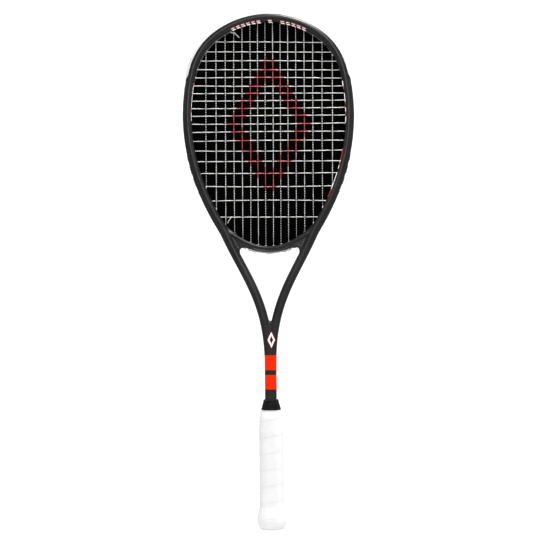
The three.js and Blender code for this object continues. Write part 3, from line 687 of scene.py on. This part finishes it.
def remeshed(piece, voxel, smoothing):
    """The piece's bodies fused into one skin."""
    fuse = piece.modifiers.new("fuse", "REMESH")
    fuse.mode = "VOXEL"
    fuse.voxel_size = voxel * MM
    soft = piece.modifiers.new("soften", "SMOOTH")
    soft.factor = 0.5
    soft.iterations = smoothing
    graph = bpy.context.evaluated_depsgraph_get()
    mesh = bpy.data.meshes.new_from_object(piece.evaluated_get(graph))
    piece.modifiers.clear()
    piece.data = mesh
    mesh.shade_smooth()
    return piece


BRIDGE_HALF_DEPTH = 6.8
TOP_RAIL = (2.5, 2.5, 8.9, (34, 66))
BOTTOM_RAIL = (-1.2, 1.7, 8.6, (18, 33))
SKIN_VOXEL = 0.8


def frame_skin():
    shape = Shape()
    shape.grid(hairpin())
    shape.grid(shaft_core())
    shape.grid(prism(crotch_outline(), 8.2, 1.0))
    bridge = prism(bridge_outline(), BRIDGE_HALF_DEPTH, 1.2)
    bridge[..., 1] *= 1 - 0.3 * bridge_taper(bridge[..., 0])
    shape.grid(bridge)
    shape.grid(bridge_rail(bezier(BRIDGE_TOP, 80), *TOP_RAIL))
    shape.grid(bridge_rail(bezier(BRIDGE_BOTTOM, 60), *BOTTOM_RAIL))
    piece = remeshed(shape.make("frame_skin"), SKIN_VOXEL, 3)
    piece.data.materials.clear()
    piece.data.materials.append(GRAPHITE)
    return piece


skin = frame_skin()
placed("frame_skin", skin, GRAPHITE, "racket", "frame", "throat_bridge", slot="graphite")

# ---- String holes ----

MAINS = 16
CROSSES = 19
MAIN_LEAN = (1.6, 0.3)
CROSS_RISE_LEFT = 1.0
CROSS_DROP_RIGHT = 2.2


def hole(mouth, exit_point, lane, seat_out, plate_out, home, s=None):
    mouth, exit_point = np.array(mouth, float), np.array(exit_point, float)
    out = (exit_point - mouth) / np.linalg.norm(exit_point - mouth)

    def at(point, outward):
        return np.array([point[0] + out[0] * outward, lane, point[1] + out[1] * outward])

    return {
        "mouth": at(mouth, 0.0),
        "tip": at(mouth, 0.9),
        "plate": at(exit_point, plate_out),
        "seat": at(exit_point, seat_out),
        "home": home,
        "s": s,
    }


PLATE = (STRIP_FLOOR + STRIP_TOP) / 2
THROAT_STRIP_END = 27.5


def home_at(s):
    if abs(s) < BUMPER_S:
        return "bumper"
    return "left" if s < 0 else "right"


def groove_hole(mouth, s, lane):
    return hole(mouth, edge(s)[0], lane, SEAT, PLATE, home_at(s), s)


def hoop_hole(s, lane):
    return groove_hole(off_edge(s, -beam_width(s) - MOUTH_PROUD)[[0, 2]], s, lane)


def through_leg(mouth, side, lane):
    fine = FINE_S[FINE_S > WIDEST_S]
    points = edge(fine)[0]
    s = fine[np.argmin(np.linalg.norm(points - mouth, axis=1))] * side
    return groove_hole((mouth[0] * side, mouth[1]), s, lane)


def through_bridge(mouth, side, lane):
    exit_point = BOTTOM_LINE[np.argmin(np.linalg.norm(BOTTOM_LINE - mouth, axis=1))]
    home = "throat" if mouth[0] < THROAT_STRIP_END else "corner"
    start = (mouth[0] * side, mouth[1])
    return hole(start, exit_point * [side, 1], lane, UNDER_SEAT, UNDER_PLATE, home)


def bridge_mouth(k):
    return TOP_LINE[k] + [0, MOUTH_PROUD]


def main_end(x, upper):
    side, reach = math.copysign(1, x), abs(x)
    across = np.abs(FINE_MOUTHS[:, 0] - reach)
    low = FINE_S < WIDEST_S if upper else (FINE_S > WIDEST_S) & (FINE_S < BRIDGE_S)
    if upper or reach > BRIDGE_TOP[0][0]:
        return hoop_hole(side * FINE_S[low][np.argmin(across[low])], MAIN_LANE)
    mouth = bridge_mouth(np.argmin(np.abs(TOP_LINE[:, 0] - reach)))
    through = through_leg if reach > BRIDGE_BOTTOM[0][0] + LEG_WIDTH else through_bridge
    return through(mouth, side, MAIN_LANE)


def cross_end(z, side):
    if z > BRIDGE_TOP[0][1]:
        near = FINE_S < BRIDGE_S
        s = FINE_S[near][np.argmin(np.abs(FINE_MOUTHS[near][:, 2] - z))]
        return hoop_hole(side * s, CROSS_LANE)
    mouth = bridge_mouth(np.argmin(np.abs(TOP_LINE[:, 1] + MOUTH_PROUD - z)))
    return through_leg(mouth, side, CROSS_LANE)


mains = []
for k in range(MAINS):
    m = k - (MAINS - 1) / 2
    x = 9.89 * m + 0.0228 * m**3
    mains.append((main_end(x + MAIN_LEAN[1], False), main_end(x + MAIN_LEAN[0], True)))

crosses = []
for k in range(CROSSES):
    m = k - 7.5
    z = 563 - 10 * m - (0.02 if m < 0 else 0.0385) * m**3
    drop = CROSS_DROP_RIGHT * float(1 - smoothstep(k, 4, 8))
    crosses.append((cross_end(z + CROSS_RISE_LEFT, -1), cross_end(z - drop, 1)))


def tie_hole():
    s = mains[2][0]["s"] - 5
    exit_point = edge(s)[0]
    away = np.linalg.norm(TOP_LINE - exit_point * [-1, 1], axis=1)
    mouth = bridge_mouth(np.argmin(away)) * [-1, 1]
    return groove_hole(mouth, s, MAIN_LANE)


low_tie = tie_hole()
high_tie = hoop_hole(mains[3][1]["s"] - 5, CROSS_LANE)
HOLES = [end for pair in mains + crosses for end in pair] + [low_tie, high_tie]

# ---- String ----

chance = np.random.default_rng(11)
MAIN_BOWS = chance.uniform(-0.45, 0.45, MAINS)
CROSS_BOWS = chance.uniform(-0.9, 1.1, CROSSES)
WEAVE = 0.68


def main_x(k, z):
    low, high = mains[k][0]["mouth"], mains[k][1]["mouth"]
    t = (z - low[2]) / (high[2] - low[2])
    return low[0] + t * (high[0] - low[0]) + MAIN_BOWS[k] * np.sin(np.pi * np.clip(t, 0, 1))


def cross_z(k, x):
    left, right = crosses[k][0]["mouth"], crosses[k][1]["mouth"]
    t = (x - left[0]) / (right[0] - left[0])
    return left[2] + t * (right[2] - left[2]) + CROSS_BOWS[k] * np.sin(np.pi * np.clip(t, 0, 1))


def crossing(m, c):
    """Where a main and a cross meet, as (x, z)."""
    x = main_x(m, 550.0)
    for _ in range(6):
        z = cross_z(c, x)
        x = main_x(m, z)
    return x, z


CROSSINGS = {(m, c): crossing(m, c) for m in range(MAINS) for c in range(CROSSES)}


def woven(kind, k):
    """Points of one string between its mouths, over and under the others."""
    ends = (mains if kind == "main" else crosses)[k]
    low, high = ends[0]["mouth"], ends[1]["mouth"]
    points = []
    for other in range(CROSSES) if kind == "main" else range(MAINS):
        m, c = (k, other) if kind == "main" else (other, k)
        x, z = CROSSINGS[m, c]
        rim = mains[m], crosses[c]
        inside = rim[0][0]["mouth"][2] + 1 < z < rim[0][1]["mouth"][2] - 1
        if inside and rim[1][0]["mouth"][0] + 1 < x < rim[1][1]["mouth"][0] - 1:
            over = WEAVE if (m + c) % 2 else -WEAVE
            points.append((x, over if kind == "main" else -over, z))
    points.sort(key=lambda p: p[2] if kind == "main" else p[0])
    return [low, *points, high]


def groove_points(start, stop, lanes, settle):
    made = []
    for s in spaced(start, stop, 3.0)[1:-1]:
        share = min(abs(s - start) / 9, 1)
        late = max(0, 1 - abs(stop - s) / 9) if settle else 0
        lane = lanes[0] + (lanes[1] - lanes[0]) * share
        made.append(off_edge(s, SEAT, lane + (lanes[2] - lane) * late))
    return made


def loop_between(a, b):
    if a["s"] is None or b["s"] is None:
        return []
    lane = a["seat"][1]
    return groove_points(a["s"], b["s"], [lane] * 3, False)


def hitch_point(end):
    """Where the string is tied off round a main, just clear of its barrel."""
    inward = end["mouth"] - end["seat"]
    return end["mouth"] + inward / np.linalg.norm(inward) * 3.2


LOW_HITCH = hitch_point(mains[2][0])
HIGH_HITCH = hitch_point(mains[3][1])


def string_route():
    """The whole string, from the knot by the third main to the knot by the fourth."""
    points = [LOW_HITCH, low_tie["mouth"], low_tie["seat"]]
    bypass = [MAIN_LANE, BYPASS_LANE, MAIN_LANE]
    points += groove_points(low_tie["s"], mains[0][0]["s"], bypass, True)
    passes = [("main", k, k % 2 == 0) for k in range(MAINS)]
    passes += [("cross", k, n % 2 == 1) for n, k in enumerate(reversed(range(CROSSES)))]
    before = None
    for kind, k, forward in passes:
        ends = (mains if kind == "main" else crosses)[k]
        enter, leave = ends if forward else ends[::-1]
        line = woven(kind, k)
        if before is not None and kind == "cross" and k == CROSSES - 1:
            clear, ahead = crosses[CROSSES - 2][1]["s"], mains[MAINS - 2][0]["s"]
            points += [off_edge(clear, SEAT, MAIN_LANE), off_edge(ahead, SEAT, CROSS_LANE)]
        elif before is not None:
            points += loop_between(before, enter)
        points += [enter["seat"], *(line if forward else line[::-1]), leave["seat"]]
        before = leave
    points += groove_points(before["s"], high_tie["s"], [CROSS_LANE] * 3, False)
    points += [high_tie["seat"], high_tie["mouth"], HIGH_HITCH]
    return np.array(points)


def knot(centre, scale, turn):
    """A half hitch pulled tight round a main."""
    t = np.linspace(0, 2 * np.pi, 72)
    across, along = np.sin(t) + 2 * np.sin(2 * t), np.cos(t) - 2 * np.cos(2 * t)
    loop = np.stack([across, 1.3 * np.sin(3 * t), along], 1)
    spin = np.array(Matrix.Rotation(turn, 3, "Y"))
    return centre + (loop * scale) @ spin.T


def tail(start, reach):
    """The cut end of the string, its tip melted to a small bead."""
    t = np.linspace(0, 1, 26)[:, None]
    path = start + t * np.array(reach) - np.sin(np.pi * t) * [0, 1.2, 0]
    radius = np.full(26, 0.48)
    radius[-4:] = (0.6, 0.7, 0.6, 0.2)
    return path, radius


TIES = [(LOW_HITCH, 0.4, (5.4, -1.6, 8.0)), (HIGH_HITCH, 1.3, (5.8, -1.6, -6.0))]


def painted_dash_shade(path, sides):
    """How pale the string is at each point: painted light and shade, as dark breaks in short dashes
    where it runs up the bed.
    """
    step = np.linalg.norm(np.diff(path, axis=0), axis=1)
    along = np.r_[0, np.cumsum(step)]
    upright = np.abs(np.gradient(path[:, 2])) / np.maximum(np.gradient(along), 1e-9)
    beat = np.clip(0.5 + 1.4 * np.sin(along * 2 * np.pi / PAINTED_DASH_PERIOD), 0, 1)
    drift = 0.5 + 0.5 * np.sin(along * 2 * np.pi / DRIFT)
    depth = np.clip(upright, 0, 1) * (0.62 + 0.36 * drift)
    return np.repeat(1 - depth * (1 - beat), sides)


def racket_string():
    shape = Shape()
    path = resampled(string_route(), 0.8, 0.85)
    shape.grid(tube(path, STRING_DRAWN))
    # The painted shade dashes, kept on the points of the main string.
    shade = painted_dash_shade(path, 8)
    for centre, turn, reach in TIES:
        shape.grid(tube(knot(centre, 0.42, turn), 0.48))
        shape.grid(tube(*tail(centre, reach)))
    piece = shape.make("string_bed", STRING, 60)
    shades = np.ones(len(piece.data.vertices))
    shades[: len(shade)] = shade
    piece.data.attributes.new("shade", "FLOAT", "POINT").data.foreach_set("value", shades)
    return piece


placed("string_bed", racket_string(), STRING, "racket", "racket_string", slot="string")

# ---- Grommet strips ----


BARREL_RADIUS = 1.5
BARREL_BORE = 0.85
STRIP_HALF = 3.6


def barrel(end, sides=18):
    """A hollow barrel from its strip to just inside the head."""
    start, tip = end["plate"], end["tip"]
    axis = tip - start
    length = np.linalg.norm(axis)
    axis /= length
    side = np.cross(axis, [0.0, 1.0, 0.0])
    up = np.cross(side, axis)
    angle = np.linspace(0, 2 * np.pi, sides, endpoint=False)
    spokes = np.cos(angle)[:, None] * side + np.sin(angle)[:, None] * up
    profile = [
        (0, BARREL_RADIUS), (length - 0.5, BARREL_RADIUS), (length - 0.1, 1.42),
        (length + 0.05, 1.15), (length - 0.1, 0.9), (0, BARREL_BORE),
    ]
    return np.array([start + axis * a + spokes * r for a, r in profile])


def with_barrels(rows, home, side=0):
    """A strip with the barrels of its own holes. A side picks one corner of the throat."""
    shape = Shape().grid(rows)
    for end in HOLES:
        if end["home"] == home and end["mouth"][0] * side >= 0:
            shape.grid(barrel(end), ring=True)
    return shape


def bumper_section(s):
    near_end = smoothstep(BUMPER_S - abs(s), 0, 9)
    top = 0.7 + 1.0 * float(near_end)
    lip = 0.1 + 1.7 * float(near_end)
    wave = 0.12 * math.cos(s / 4.2)
    half = [
        (STRIP_FLOOR, -STRIP_HALF), (-0.3, -STRIP_HALF), (-lip, -7.0), (-lip, -7.8),
        (top - 0.5, -7.0), (top + wave, -5.4), (top + wave, -3.0), (STRIP_TOP, -3.0),
    ]
    trims = [0.3, 0.2, 0.2, 0.3, 0.7, 0.7, 0.5, 0.3]
    return filleted(mirrored(half), trims + trims[::-1], 3)


def bumper():
    return with_barrels(swept(spaced(-BUMPER_S, BUMPER_S, 1.6), bumper_section), "bumper")


PAD_SEAMS = {
    side: sorted(abs(h["s"]) for h in HOLES if h["home"] == side) for side in ("left", "right")
}


def side_section(s):
    """A flat strip in the groove that swells into a low pad between each two holes."""
    seams = PAD_SEAMS["left" if s < 0 else "right"]
    gap = min(abs(abs(s) - seam) for seam in seams)
    z = float(edge(s)[0][1])
    swell = float(smoothstep(gap, 1.6, 3.0))
    proud = 0.25 + 0.55 * float(smoothstep(z, 440, 450) * (1 - smoothstep(z, 492, 500)))
    proud += 0.5 * float(smoothstep(z, 572, 590))
    top = STRIP_TOP + (proud - STRIP_TOP) * swell
    trough = min(top, -1.4)
    corners = [
        (STRIP_FLOOR, -STRIP_HALF), (top - 0.3, -STRIP_HALF), (top, -2.8), (trough, -1.5),
        (trough, 1.9), (top, 2.8), (top - 0.3, STRIP_HALF), (STRIP_FLOOR, STRIP_HALF),
    ]
    return filleted(corners, [0.2, 0.2, 0.3, 0.2, 0.2, 0.3, 0.2, 0.2], 2)


def side_strip(side):
    sign = -1 if side == "left" else 1
    return with_barrels(swept(sign * spaced(BUMPER_S + 0.5, SIDE_S, 0.9), side_section), side)


def below_bridge(x, down, y):
    """Points below the bridge's lower edge at distances x from the middle."""
    k = np.argmin(np.abs(BOTTOM_LINE[:, 0] - abs(x)))
    tangent = BOTTOM_LINE[max(k - 1, 0)] - BOTTOM_LINE[min(k + 1, len(BOTTOM_LINE) - 1)]
    tangent /= np.linalg.norm(tangent)
    px, pz = BOTTOM_LINE[k]
    side = 1 if x >= 0 else -1
    return np.stack([side * (px + tangent[1] * down), y, pz - tangent[0] * down], -1)


def throat_rows(start, stop, half, lips):
    rows = []
    for x in spaced(start, stop, 1.0):
        hump = sum(math.exp(-(((x - at) / 3.2) ** 2)) for at in (-20.5, 0.0, 20.5))
        fade = float(smoothstep(THROAT_STRIP_END - abs(x), 0, 4))
        top = 1.1 + (0.7 + 1.3 * hump) * fade if lips else 1.1
        corners = mirrored([(0.2, -half), (top, -half), (top, 0.8 - half), (1.0, 1.0 - half)])
        section = filleted(corners, [0.2, 0.35, 0.35, 0.2, 0.2, 0.35, 0.35, 0.2], 3)
        rows.append(below_bridge(x, section[:, 0], section[:, 1]))
    return np.array(rows)


def throat_strip():
    rows = throat_rows(-THROAT_STRIP_END, THROAT_STRIP_END, 3.3, True)
    return with_barrels(rows, "throat")


def corner_grommet(side):
    rows = throat_rows(*sorted((31.0 * side, 39.2 * side)), 3.0, False)
    return with_barrels(rows, "corner", side)


for name, shape, material, node, slot in (
    ("bumper_guard_shell", bumper(), PALE, "bumper_guard", "pale_nylon"),
    ("side_strip_left", side_strip("left"), DARK, "grommet_strip_left", "dark_nylon"),
    ("side_strip_right", side_strip("right"), DARK, "grommet_strip_right", "dark_nylon"),
    ("throat_strip_shell", throat_strip(), PALE, "throat_grommet_strip", "pale_nylon"),
    ("corner_grommet_left", corner_grommet(-1), DARK, "throat_grommet_left", "dark_nylon"),
    ("corner_grommet_right", corner_grommet(1), DARK, "throat_grommet_right", "dark_nylon"),
):
    placed(name, shape, material, "racket", node, slot=slot)

# ---- Painted dashes on the head's inner wall ----


def wall_patch(tree, s_range, y_range, slant, proud):
    """A thin painted patch on the hoop's inner wall, slanted along the wall."""
    rows = []
    for y in np.linspace(*y_range, 7):
        share = (y - y_range[0]) / (y_range[1] - y_range[0])
        row = []
        for s in np.linspace(*s_range, max(3, int(abs(s_range[1] - s_range[0]) / 1.2) + 2)):
            at = s + slant * share
            start = Vector(off_edge(at, -beam_width(at) - 4, y) * MM)
            inward = Vector((off_edge(at, 0, y) - off_edge(at, -1, y)).tolist())
            hit, normal, _, _ = tree.ray_cast(start, inward.normalized())
            row.append(hit + normal * proud * MM)
        rows.append(row)
    return rows


def patches(name, tree, areas, proud, material):
    points, faces = [], []
    for area in areas:
        rows = wall_patch(tree, *area, proud)
        base, across = len(points), len(rows[0])
        points += [p for row in rows for p in row]
        for i in range(len(rows) - 1):
            for j in range(across - 1):
                a = base + i * across + j
                faces.append((a, a + 1, a + across + 1, a + across))
    mesh = raw_mesh(name, [tuple(p) for p in points], faces)
    mesh.shade_smooth()
    made = in_scene(name, mesh, material)
    thick = made.modifiers.new("film", "SOLIDIFY")
    thick.thickness = 0.04 * MM
    thick.offset = -1
    return made


def crown_dashes():
    """Even slanted dashes along the crown, in three groups."""
    made = []
    for start, stop in ((-54, -8), (1, 9), (19, 60)):
        count = max(1, round((stop - start) / 8.2))
        step = (stop - start) / count
        made += [(start + k * step, start + (k + 1) * step - 2.8) for k in range(count)]
    return made


LEFT_WHITE = [(588, 558), (553, 542)]
LEFT_RED = [(592, 588), (558, 553)]
RIGHT_WHITE = [(592, 585), (576, 565), (557, 552), (545, 537), (488, 485), (481, 477), (472, 450)]
RIGHT_RED = [(585, 581), (565, 561), (552, 548), (503, 488), (485, 481), (450, 440)]


def side_dashes(side, heights, depth):
    """Areas of the side wall between pairs of heights."""
    upper = FINE_S < BRIDGE_S
    levels, lengths = FINE_MOUTHS[upper][:, 2], FINE_S[upper]
    order = np.argsort(levels)
    pairs = [sorted(side * np.interp(pair, levels[order], lengths[order])) for pair in heights]
    return [(tuple(pair), depth, 0.0) for pair in pairs]


work = bmesh.new()
work.from_mesh(skin.data)
wall = BVHTree.FromBMesh(work)
work.free()

dash_white = [((a, b), (-6.8, 5.2), 2.6) for a, b in crown_dashes()]
dash_red = [((a - 0.4, b + 0.4), (-7.3, 5.4), 2.6) for a, b in crown_dashes()]
side_white = side_dashes(-1, LEFT_WHITE, (-5.2, -4.0)) + side_dashes(1, RIGHT_WHITE, (-6.1, -2.0))
side_red = side_dashes(-1, LEFT_RED, (-5.9, -2.8)) + side_dashes(1, RIGHT_RED, (-6.4, -1.6))
for name, areas, proud, paint in (
    ("wall_marks_red", dash_red + side_red, 0.10, MARK_RED),
    ("wall_marks_white", dash_white + side_white, 0.16, MARK_WHITE),
):
    placed(name, patches(name, wall, areas, proud, paint), None, "racket")

# ---- Handle ----

WRAP_PROFILE = [
    (2, 16.5, 13.8), (5, 18.8, 15.9), (12.7, 20.05, 17), (22, 18.6, 16.2),
    (31, 16.8, 14.8), (131, 16.8, 14.8), (150, 15.9, 14.4), (158.3, 13.3, 13.2),
]
WRAP_MOUTH = [(158.9, 12.3, 12.4), (160.5, 11.9, 12.2), (163, 11.2, 11.9), (163, 9.9, 10.5)]
WRAP_INSIDE = [
    (150, 14.4, 12.9), (131, 15.3, 13.3), (31, 15.3, 13.3),
    (12.7, 18.4, 15.4), (5, 17.2, 14.3), (2.0, 15.0, 12.3),
]
PITCH = 21.6
OVERLAP_STEP = 0.3
HANDLE_POWER = 2.6


def smooth_profile(profile, z):
    """Half width and half depth at heights z, with the profile's corners eased."""
    heights, widths, depths = (np.array(v, float) for v in zip(*profile))
    spread = np.linspace(-2.2, 2.2, 9)
    weights = np.exp(-0.5 * (spread / 1.2) ** 2)
    weights /= weights.sum()
    at = np.clip(z + spread, heights[0], heights[-1])
    return np.stack([np.interp(at, heights, values) @ weights for values in (widths, depths)], -1)


def grip_wrap():
    """One strip wound up the handle, each turn lapping the one below."""
    sides = 120
    section = rounded(sides, HANDLE_POWER)
    angle = np.linspace(0, 1, sides, endpoint=False)
    rows = []
    body = np.concatenate([[2.0, 2.15, 2.5, 3.0], np.arange(3.5, 158.0, 0.5), [158.2]])
    for z in body:
        width, depth = smooth_profile(WRAP_PROFILE, z)
        phase = (z / PITCH - angle) % 1.0
        lap = np.where(phase < 0.045, phase / 0.045, 1 - (phase - 0.045) / 0.955) * OVERLAP_STEP
        lap *= float(smoothstep(z, 3, 9))
        crease = -0.06 * np.exp(-((phase / 0.012) ** 2))
        wander = [noise.noise(Vector((x * 2.1, y * 2.1, z / 16.0))) for x, y in section]
        grow = lap + crease + np.array(wander) * 0.16 - 0.42
        ease = 0.9 * (1 - math.sqrt(max(0.0, 1 - max(0.0, 1 - (z - 2.0) / 1.0) ** 2)))
        points = section * [width - ease, depth - ease]
        reach = np.linalg.norm(points, axis=1, keepdims=True)
        points = points * (1 + grow[:, None] / reach)
        rows.append(np.c_[points, np.full(sides, z)])
    for z, width, depth in WRAP_MOUTH + WRAP_INSIDE:
        rows.append(np.c_[section * [width, depth], np.full(sides, z)])
    return Shape().grid(np.array(rows), ring=True)


def lofted(profile, sides=96, ring=False):
    """Rows from (z, half width, half depth, power) entries."""
    rows = [np.c_[rounded(sides, power) * [w, d], np.full(sides, z)] for z, w, d, power in profile]
    return Shape().grid(np.array(rows), ring=ring)


def collar():
    """A tapered rubber sleeve with a rolled top lip and a thin flared skirt."""
    outside = [
        (158.9, 13.0, 13.3), (159.1, 13.25, 13.5), (159.6, 13.3, 13.5), (160.1, 13.05, 13.3),
        (160.5, 12.75, 13.15), (163.4, 11.95, 12.75), (166.4, 11.1, 12.3), (168.4, 10.55, 11.95),
        (168.9, 10.2, 11.7), (169.2, 10.15, 11.65), (169.6, 10.3, 11.8), (170.6, 10.3, 11.8),
        (171.3, 9.9, 11.4), (171.6, 9.2, 10.8), (171.5, 8.5, 10.2),
    ]
    inside = [
        (170.6, 8.1, 9.9), (168.2, 8.1, 9.9), (167.7, 9.9, 11.6), (163.2, 11.5, 12.3),
        (158.9, 12.7, 12.85),
    ]
    rows = [(z, w, d, HANDLE_POWER) for z, w, d in outside]
    rows += [(z, w, d, 3.2 if z > 168 else HANDLE_POWER) for z, w, d in inside]
    return lofted(rows, ring=True)


def finishing_tape():
    return lofted([
        (163.3, 9.3, 11.0, 2.6), (163.4, 9.6, 11.3, 2.6), (165.6, 9.65, 11.3, 2.6),
        (165.7, 9.5, 11.15, 2.6), (167.3, 9.5, 11.15, 2.6), (167.45, 9.25, 10.9, 2.6),
        (167.4, 7.6, 9.45, 3.4), (163.4, 7.6, 9.45, 3.4),
    ], ring=True)


def butt_cap():
    oval, box = 2.0, HANDLE_POWER
    return lofted([
        (1.3, 0.4, 0.3, oval), (1.3, 7.55, 5.55, oval), (1.2, 7.7, 5.7, oval),
        (0.25, 7.75, 5.75, oval), (0.0, 8.0, 6.0, oval), (0.0, 11.6, 9.2, 2.4),
        (0.12, 12.1, 9.7, box), (0.5, 13.4, 10.9, box), (1.1, 15.2, 12.5, box),
        (1.55, 16.1, 13.3, box), (1.75, 16.1, 13.3, box), (1.9, 15.5, 12.7, box),
        (2.0, 14.7, 12.0, box), (5, 16.9, 14.0, box), (12.7, 18.1, 15.0, box),
        (22, 16.7, 14.3, box), (27, 15.2, 13.2, box), (27, 0.4, 0.3, box),
    ])


def medallion():
    return lofted([
        (1.0, 0.3, 0.2, 2), (1.0, 7.3, 5.3, 2), (0.7, 7.4, 5.4, 2), (0.42, 7.3, 5.3, 2),
        (0.32, 6.9, 4.9, 2), (0.36, 6.5, 4.5, 2), (0.50, 6.2, 4.2, 2), (0.42, 5.0, 3.4, 2),
        (0.33, 3.0, 2.0, 2), (0.30, 0.3, 0.2, 2),
    ], 64)


placed("grip_wrap_spiral", grip_wrap(), GRIP, "racket", "grip_wrap", slot="grip", sharp=55)
placed("grip_collar_sleeve", collar(), RUBBER, "collar", "grip_collar", slot="collar_rubber")
placed("finishing_tape_band", finishing_tape(), TAPE, "racket", "finishing_tape", slot="tape")
placed("butt_cap_moulded", butt_cap(), CAP, "racket", "butt_cap", slot="cap_plastic")
placed("butt_badge", medallion(), BADGE, "racket", "butt_medallion", slot="badge")

for name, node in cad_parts.items():
    if name.startswith("handle_core"):
        node.data.materials[0] = FOAM
    if name.startswith("cap_staple"):
        node.data.materials[0] = STEEL

# ---- Camera ----

DISTANCE = 1.394
AIM = Vector((0.0003, 0.0, 0.3436))
YAW = math.radians(2.0)
ROLL = math.radians(0.54)

lens = bpy.data.cameras.new("camera")
lens.lens = 70
lens.sensor_width = 36
camera = bpy.data.objects.new("camera", lens)
back = Vector((math.sin(YAW), -math.cos(YAW), 0))
camera.location = AIM + back * DISTANCE
camera.rotation_mode = "QUATERNION"
turn = (-back).to_track_quat("-Z", "Y")
camera.rotation_quaternion = turn @ Matrix.Rotation(-ROLL, 4, "Z").to_quaternion()
bpy.context.scene.collection.objects.link(camera)
bpy.context.scene.camera = camera

# ---- Stage ----

ROOM = 4.5
ROOM_BEND = 1.2
CARD_INSET = 0.35
CARD_RIM_Y = 3.4


def head_outline(rim_y):
    """The opening's far rim as the camera sees it through the string plane: (x, z), clockwise."""
    right = off_edge(spaced(1e-6, BRIDGE_S, 4.0), -HOOP_WIDTH)[:, [0, 2]]
    half = np.concatenate([right, TOP_LINE[::120] - [0, 0.3]])
    both = np.concatenate([half, half * [-1, 1]])
    eye = camera.location / MM
    both += (np.array([eye.x, eye.z]) - both) * (rim_y / (rim_y - eye.y))
    ring = both[geometry.convex_hull_2d([tuple(p) for p in both])]
    after = np.roll(ring, -1, 0)
    area = np.sum(ring[:, 0] * after[:, 1] - after[:, 0] * ring[:, 1])
    return ring if area < 0 else ring[::-1]


def clipped(cell, outline):
    """A convex cell cut to the outline, both as (x, z) points in clockwise order."""
    for a, b in zip(outline, np.roll(outline, -1, 0)):
        if len(cell) == 0 or np.linalg.norm(b - a) < 1e-9:
            continue
        across = b - a
        side = [across[1] * (p[0] - a[0]) - across[0] * (p[1] - a[1]) for p in cell]
        kept = []
        for k, point in enumerate(cell):
            last = k - 1
            if (side[k] >= 0) != (side[last] >= 0):
                share = side[last] / (side[last] - side[k])
                kept.append(cell[last] + share * (point - cell[last]))
            if side[k] >= 0:
                kept.append(point)
        cell = kept
    return cell


def painted_shade_card():
    """Thin matt black cards in the gaps of the string bed: painted shade standing for a dark studio
    behind it.
    """
    outline = head_outline(CARD_RIM_Y)
    xs = [lambda z, k=k: main_x(k, z) for k in range(MAINS)]
    xs = [lambda z: -125.0, *xs, lambda z: 125.0]
    zs = [lambda x: 690.0, *(lambda x, k=k: cross_z(k, x) for k in range(CROSSES)), lambda x: 360.0]
    points, faces = [], []
    for left, right in zip(xs[:-1], xs[1:]):
        for high, low in zip(zs[:-1], zs[1:]):
            cell = []
            corners = (left, high), (right, high), (right, low), (left, low)
            for side, level in corners:
                dx = 1 if side is left else -1
                dz = 1 if level is low else -1
                z = level(side(level(0.0)))
                cell.append(np.array([side(z) + dx * CARD_INSET, z + dz * CARD_INSET]))
            cell = clipped(cell, outline)
            if len(cell) >= 3:
                faces.append(tuple(range(len(points), len(points) + len(cell))))
                points += [(p[0] * MM, 0.0, p[1] * MM) for p in cell]
    black = Finish("card_black", 1.0)
    black.colour((0.0008, 0.0008, 0.0008))
    black.set(Specular_IOR_Level=0.0)
    in_scene("painted_shade_card", raw_mesh("painted_shade_card", points, faces), black.material)


def studio_room():
    """A pale round floor that curves up into a wall all round, brightest behind the racket."""
    curve = [
        (ROOM - ROOM_BEND * (1 - math.sin(a)), ROOM_BEND * (1 - math.cos(a)))
        for a in np.linspace(0, math.pi / 2, 16)
    ]
    profile = [(0.01, 0.0), (1.5, 0.0), *curve, (ROOM, 4.5)]
    around = np.linspace(0, 2 * np.pi, 128, endpoint=False)
    count = len(around)
    points = [(r * math.sin(a), r * math.cos(a), z) for r, z in profile for a in around]
    faces = []
    for near in range(0, (len(profile) - 1) * count, count):
        far = near + count
        for j in range(count):
            after = (j + 1) % count
            faces.append((near + j, far + j, far + after, near + after))
    faces.append(tuple(range(count)))
    mesh = raw_mesh("floor", points, faces)
    mesh.shade_smooth()
    pale = Finish("floor_pale", 0.9)
    pale.colour((0.36, 0.36, 0.36))
    pale.set(Specular_IOR_Level=0.1, Emission_Color=(1, 1, 1, 1))
    place = pale.node("ShaderNodeSeparateXYZ")
    pale.feed(place.inputs[0], pale.here)
    behind = pale.spread(place.outputs["Y"], -0.7, 0.35)
    aside = pale.spread(pale.math("ABSOLUTE", place.outputs["X"]), 1.4, 3.2, 1.0, 0.0)
    glow = pale.spread(pale.math("MULTIPLY", behind, aside), 0.0, 1.0, 0.42, 0.94)
    pale.feed(pale.shader.inputs["Emission Strength"], glow)
    in_scene("floor", mesh, pale.material)


def soft_light(name, place, aim, size, power):
    data = bpy.data.lights.new(name, "AREA")
    data.shape = "RECTANGLE"
    data.size, data.size_y = size
    data.energy = power
    light = bpy.data.objects.new(name, data)
    light.location = place
    light.rotation_mode = "QUATERNION"
    light.rotation_quaternion = (Vector(aim) - Vector(place)).to_track_quat("-Z", "Y")
    bpy.context.scene.collection.objects.link(light)


# Black cards in the string bed's gaps, painted shade.
painted_shade_card()
studio_room()
for name, place, aim, size, power in (
    ("key", (0.65, -1.6, 1.95), (0, 0, 0.36), (0.6, 0.6), 11),
    ("top", (0.2, -0.22, 1.35), (0, 0, 0.6), (0.35, 0.25), 20),
    ("front", (0.1, -2.2, 0.95), (0, 0, 0.45), (0.35, 0.35), 22),
    ("back", (-0.6, 1.3, 1.5), (0, 0, 0.3), (1.0, 1.0), 14),
    ("right", (1.7, 0.1, 1.15), (0, 0, 0.6), (0.5, 0.7), 9),
    ("left", (-1.7, 0.1, 1.15), (0, 0, 0.6), (0.5, 0.7), 9),
):
    soft_light(name, place, aim, size, power)

world = bpy.data.worlds.new("studio")
world.use_nodes = True
sky = world.node_tree.nodes["Background"].inputs
sky["Color"].default_value = (1, 1, 1, 1)
sky["Strength"].default_value = 0.3
bpy.context.scene.world = world
bpy.context.scene.view_settings.view_transform = "Standard"
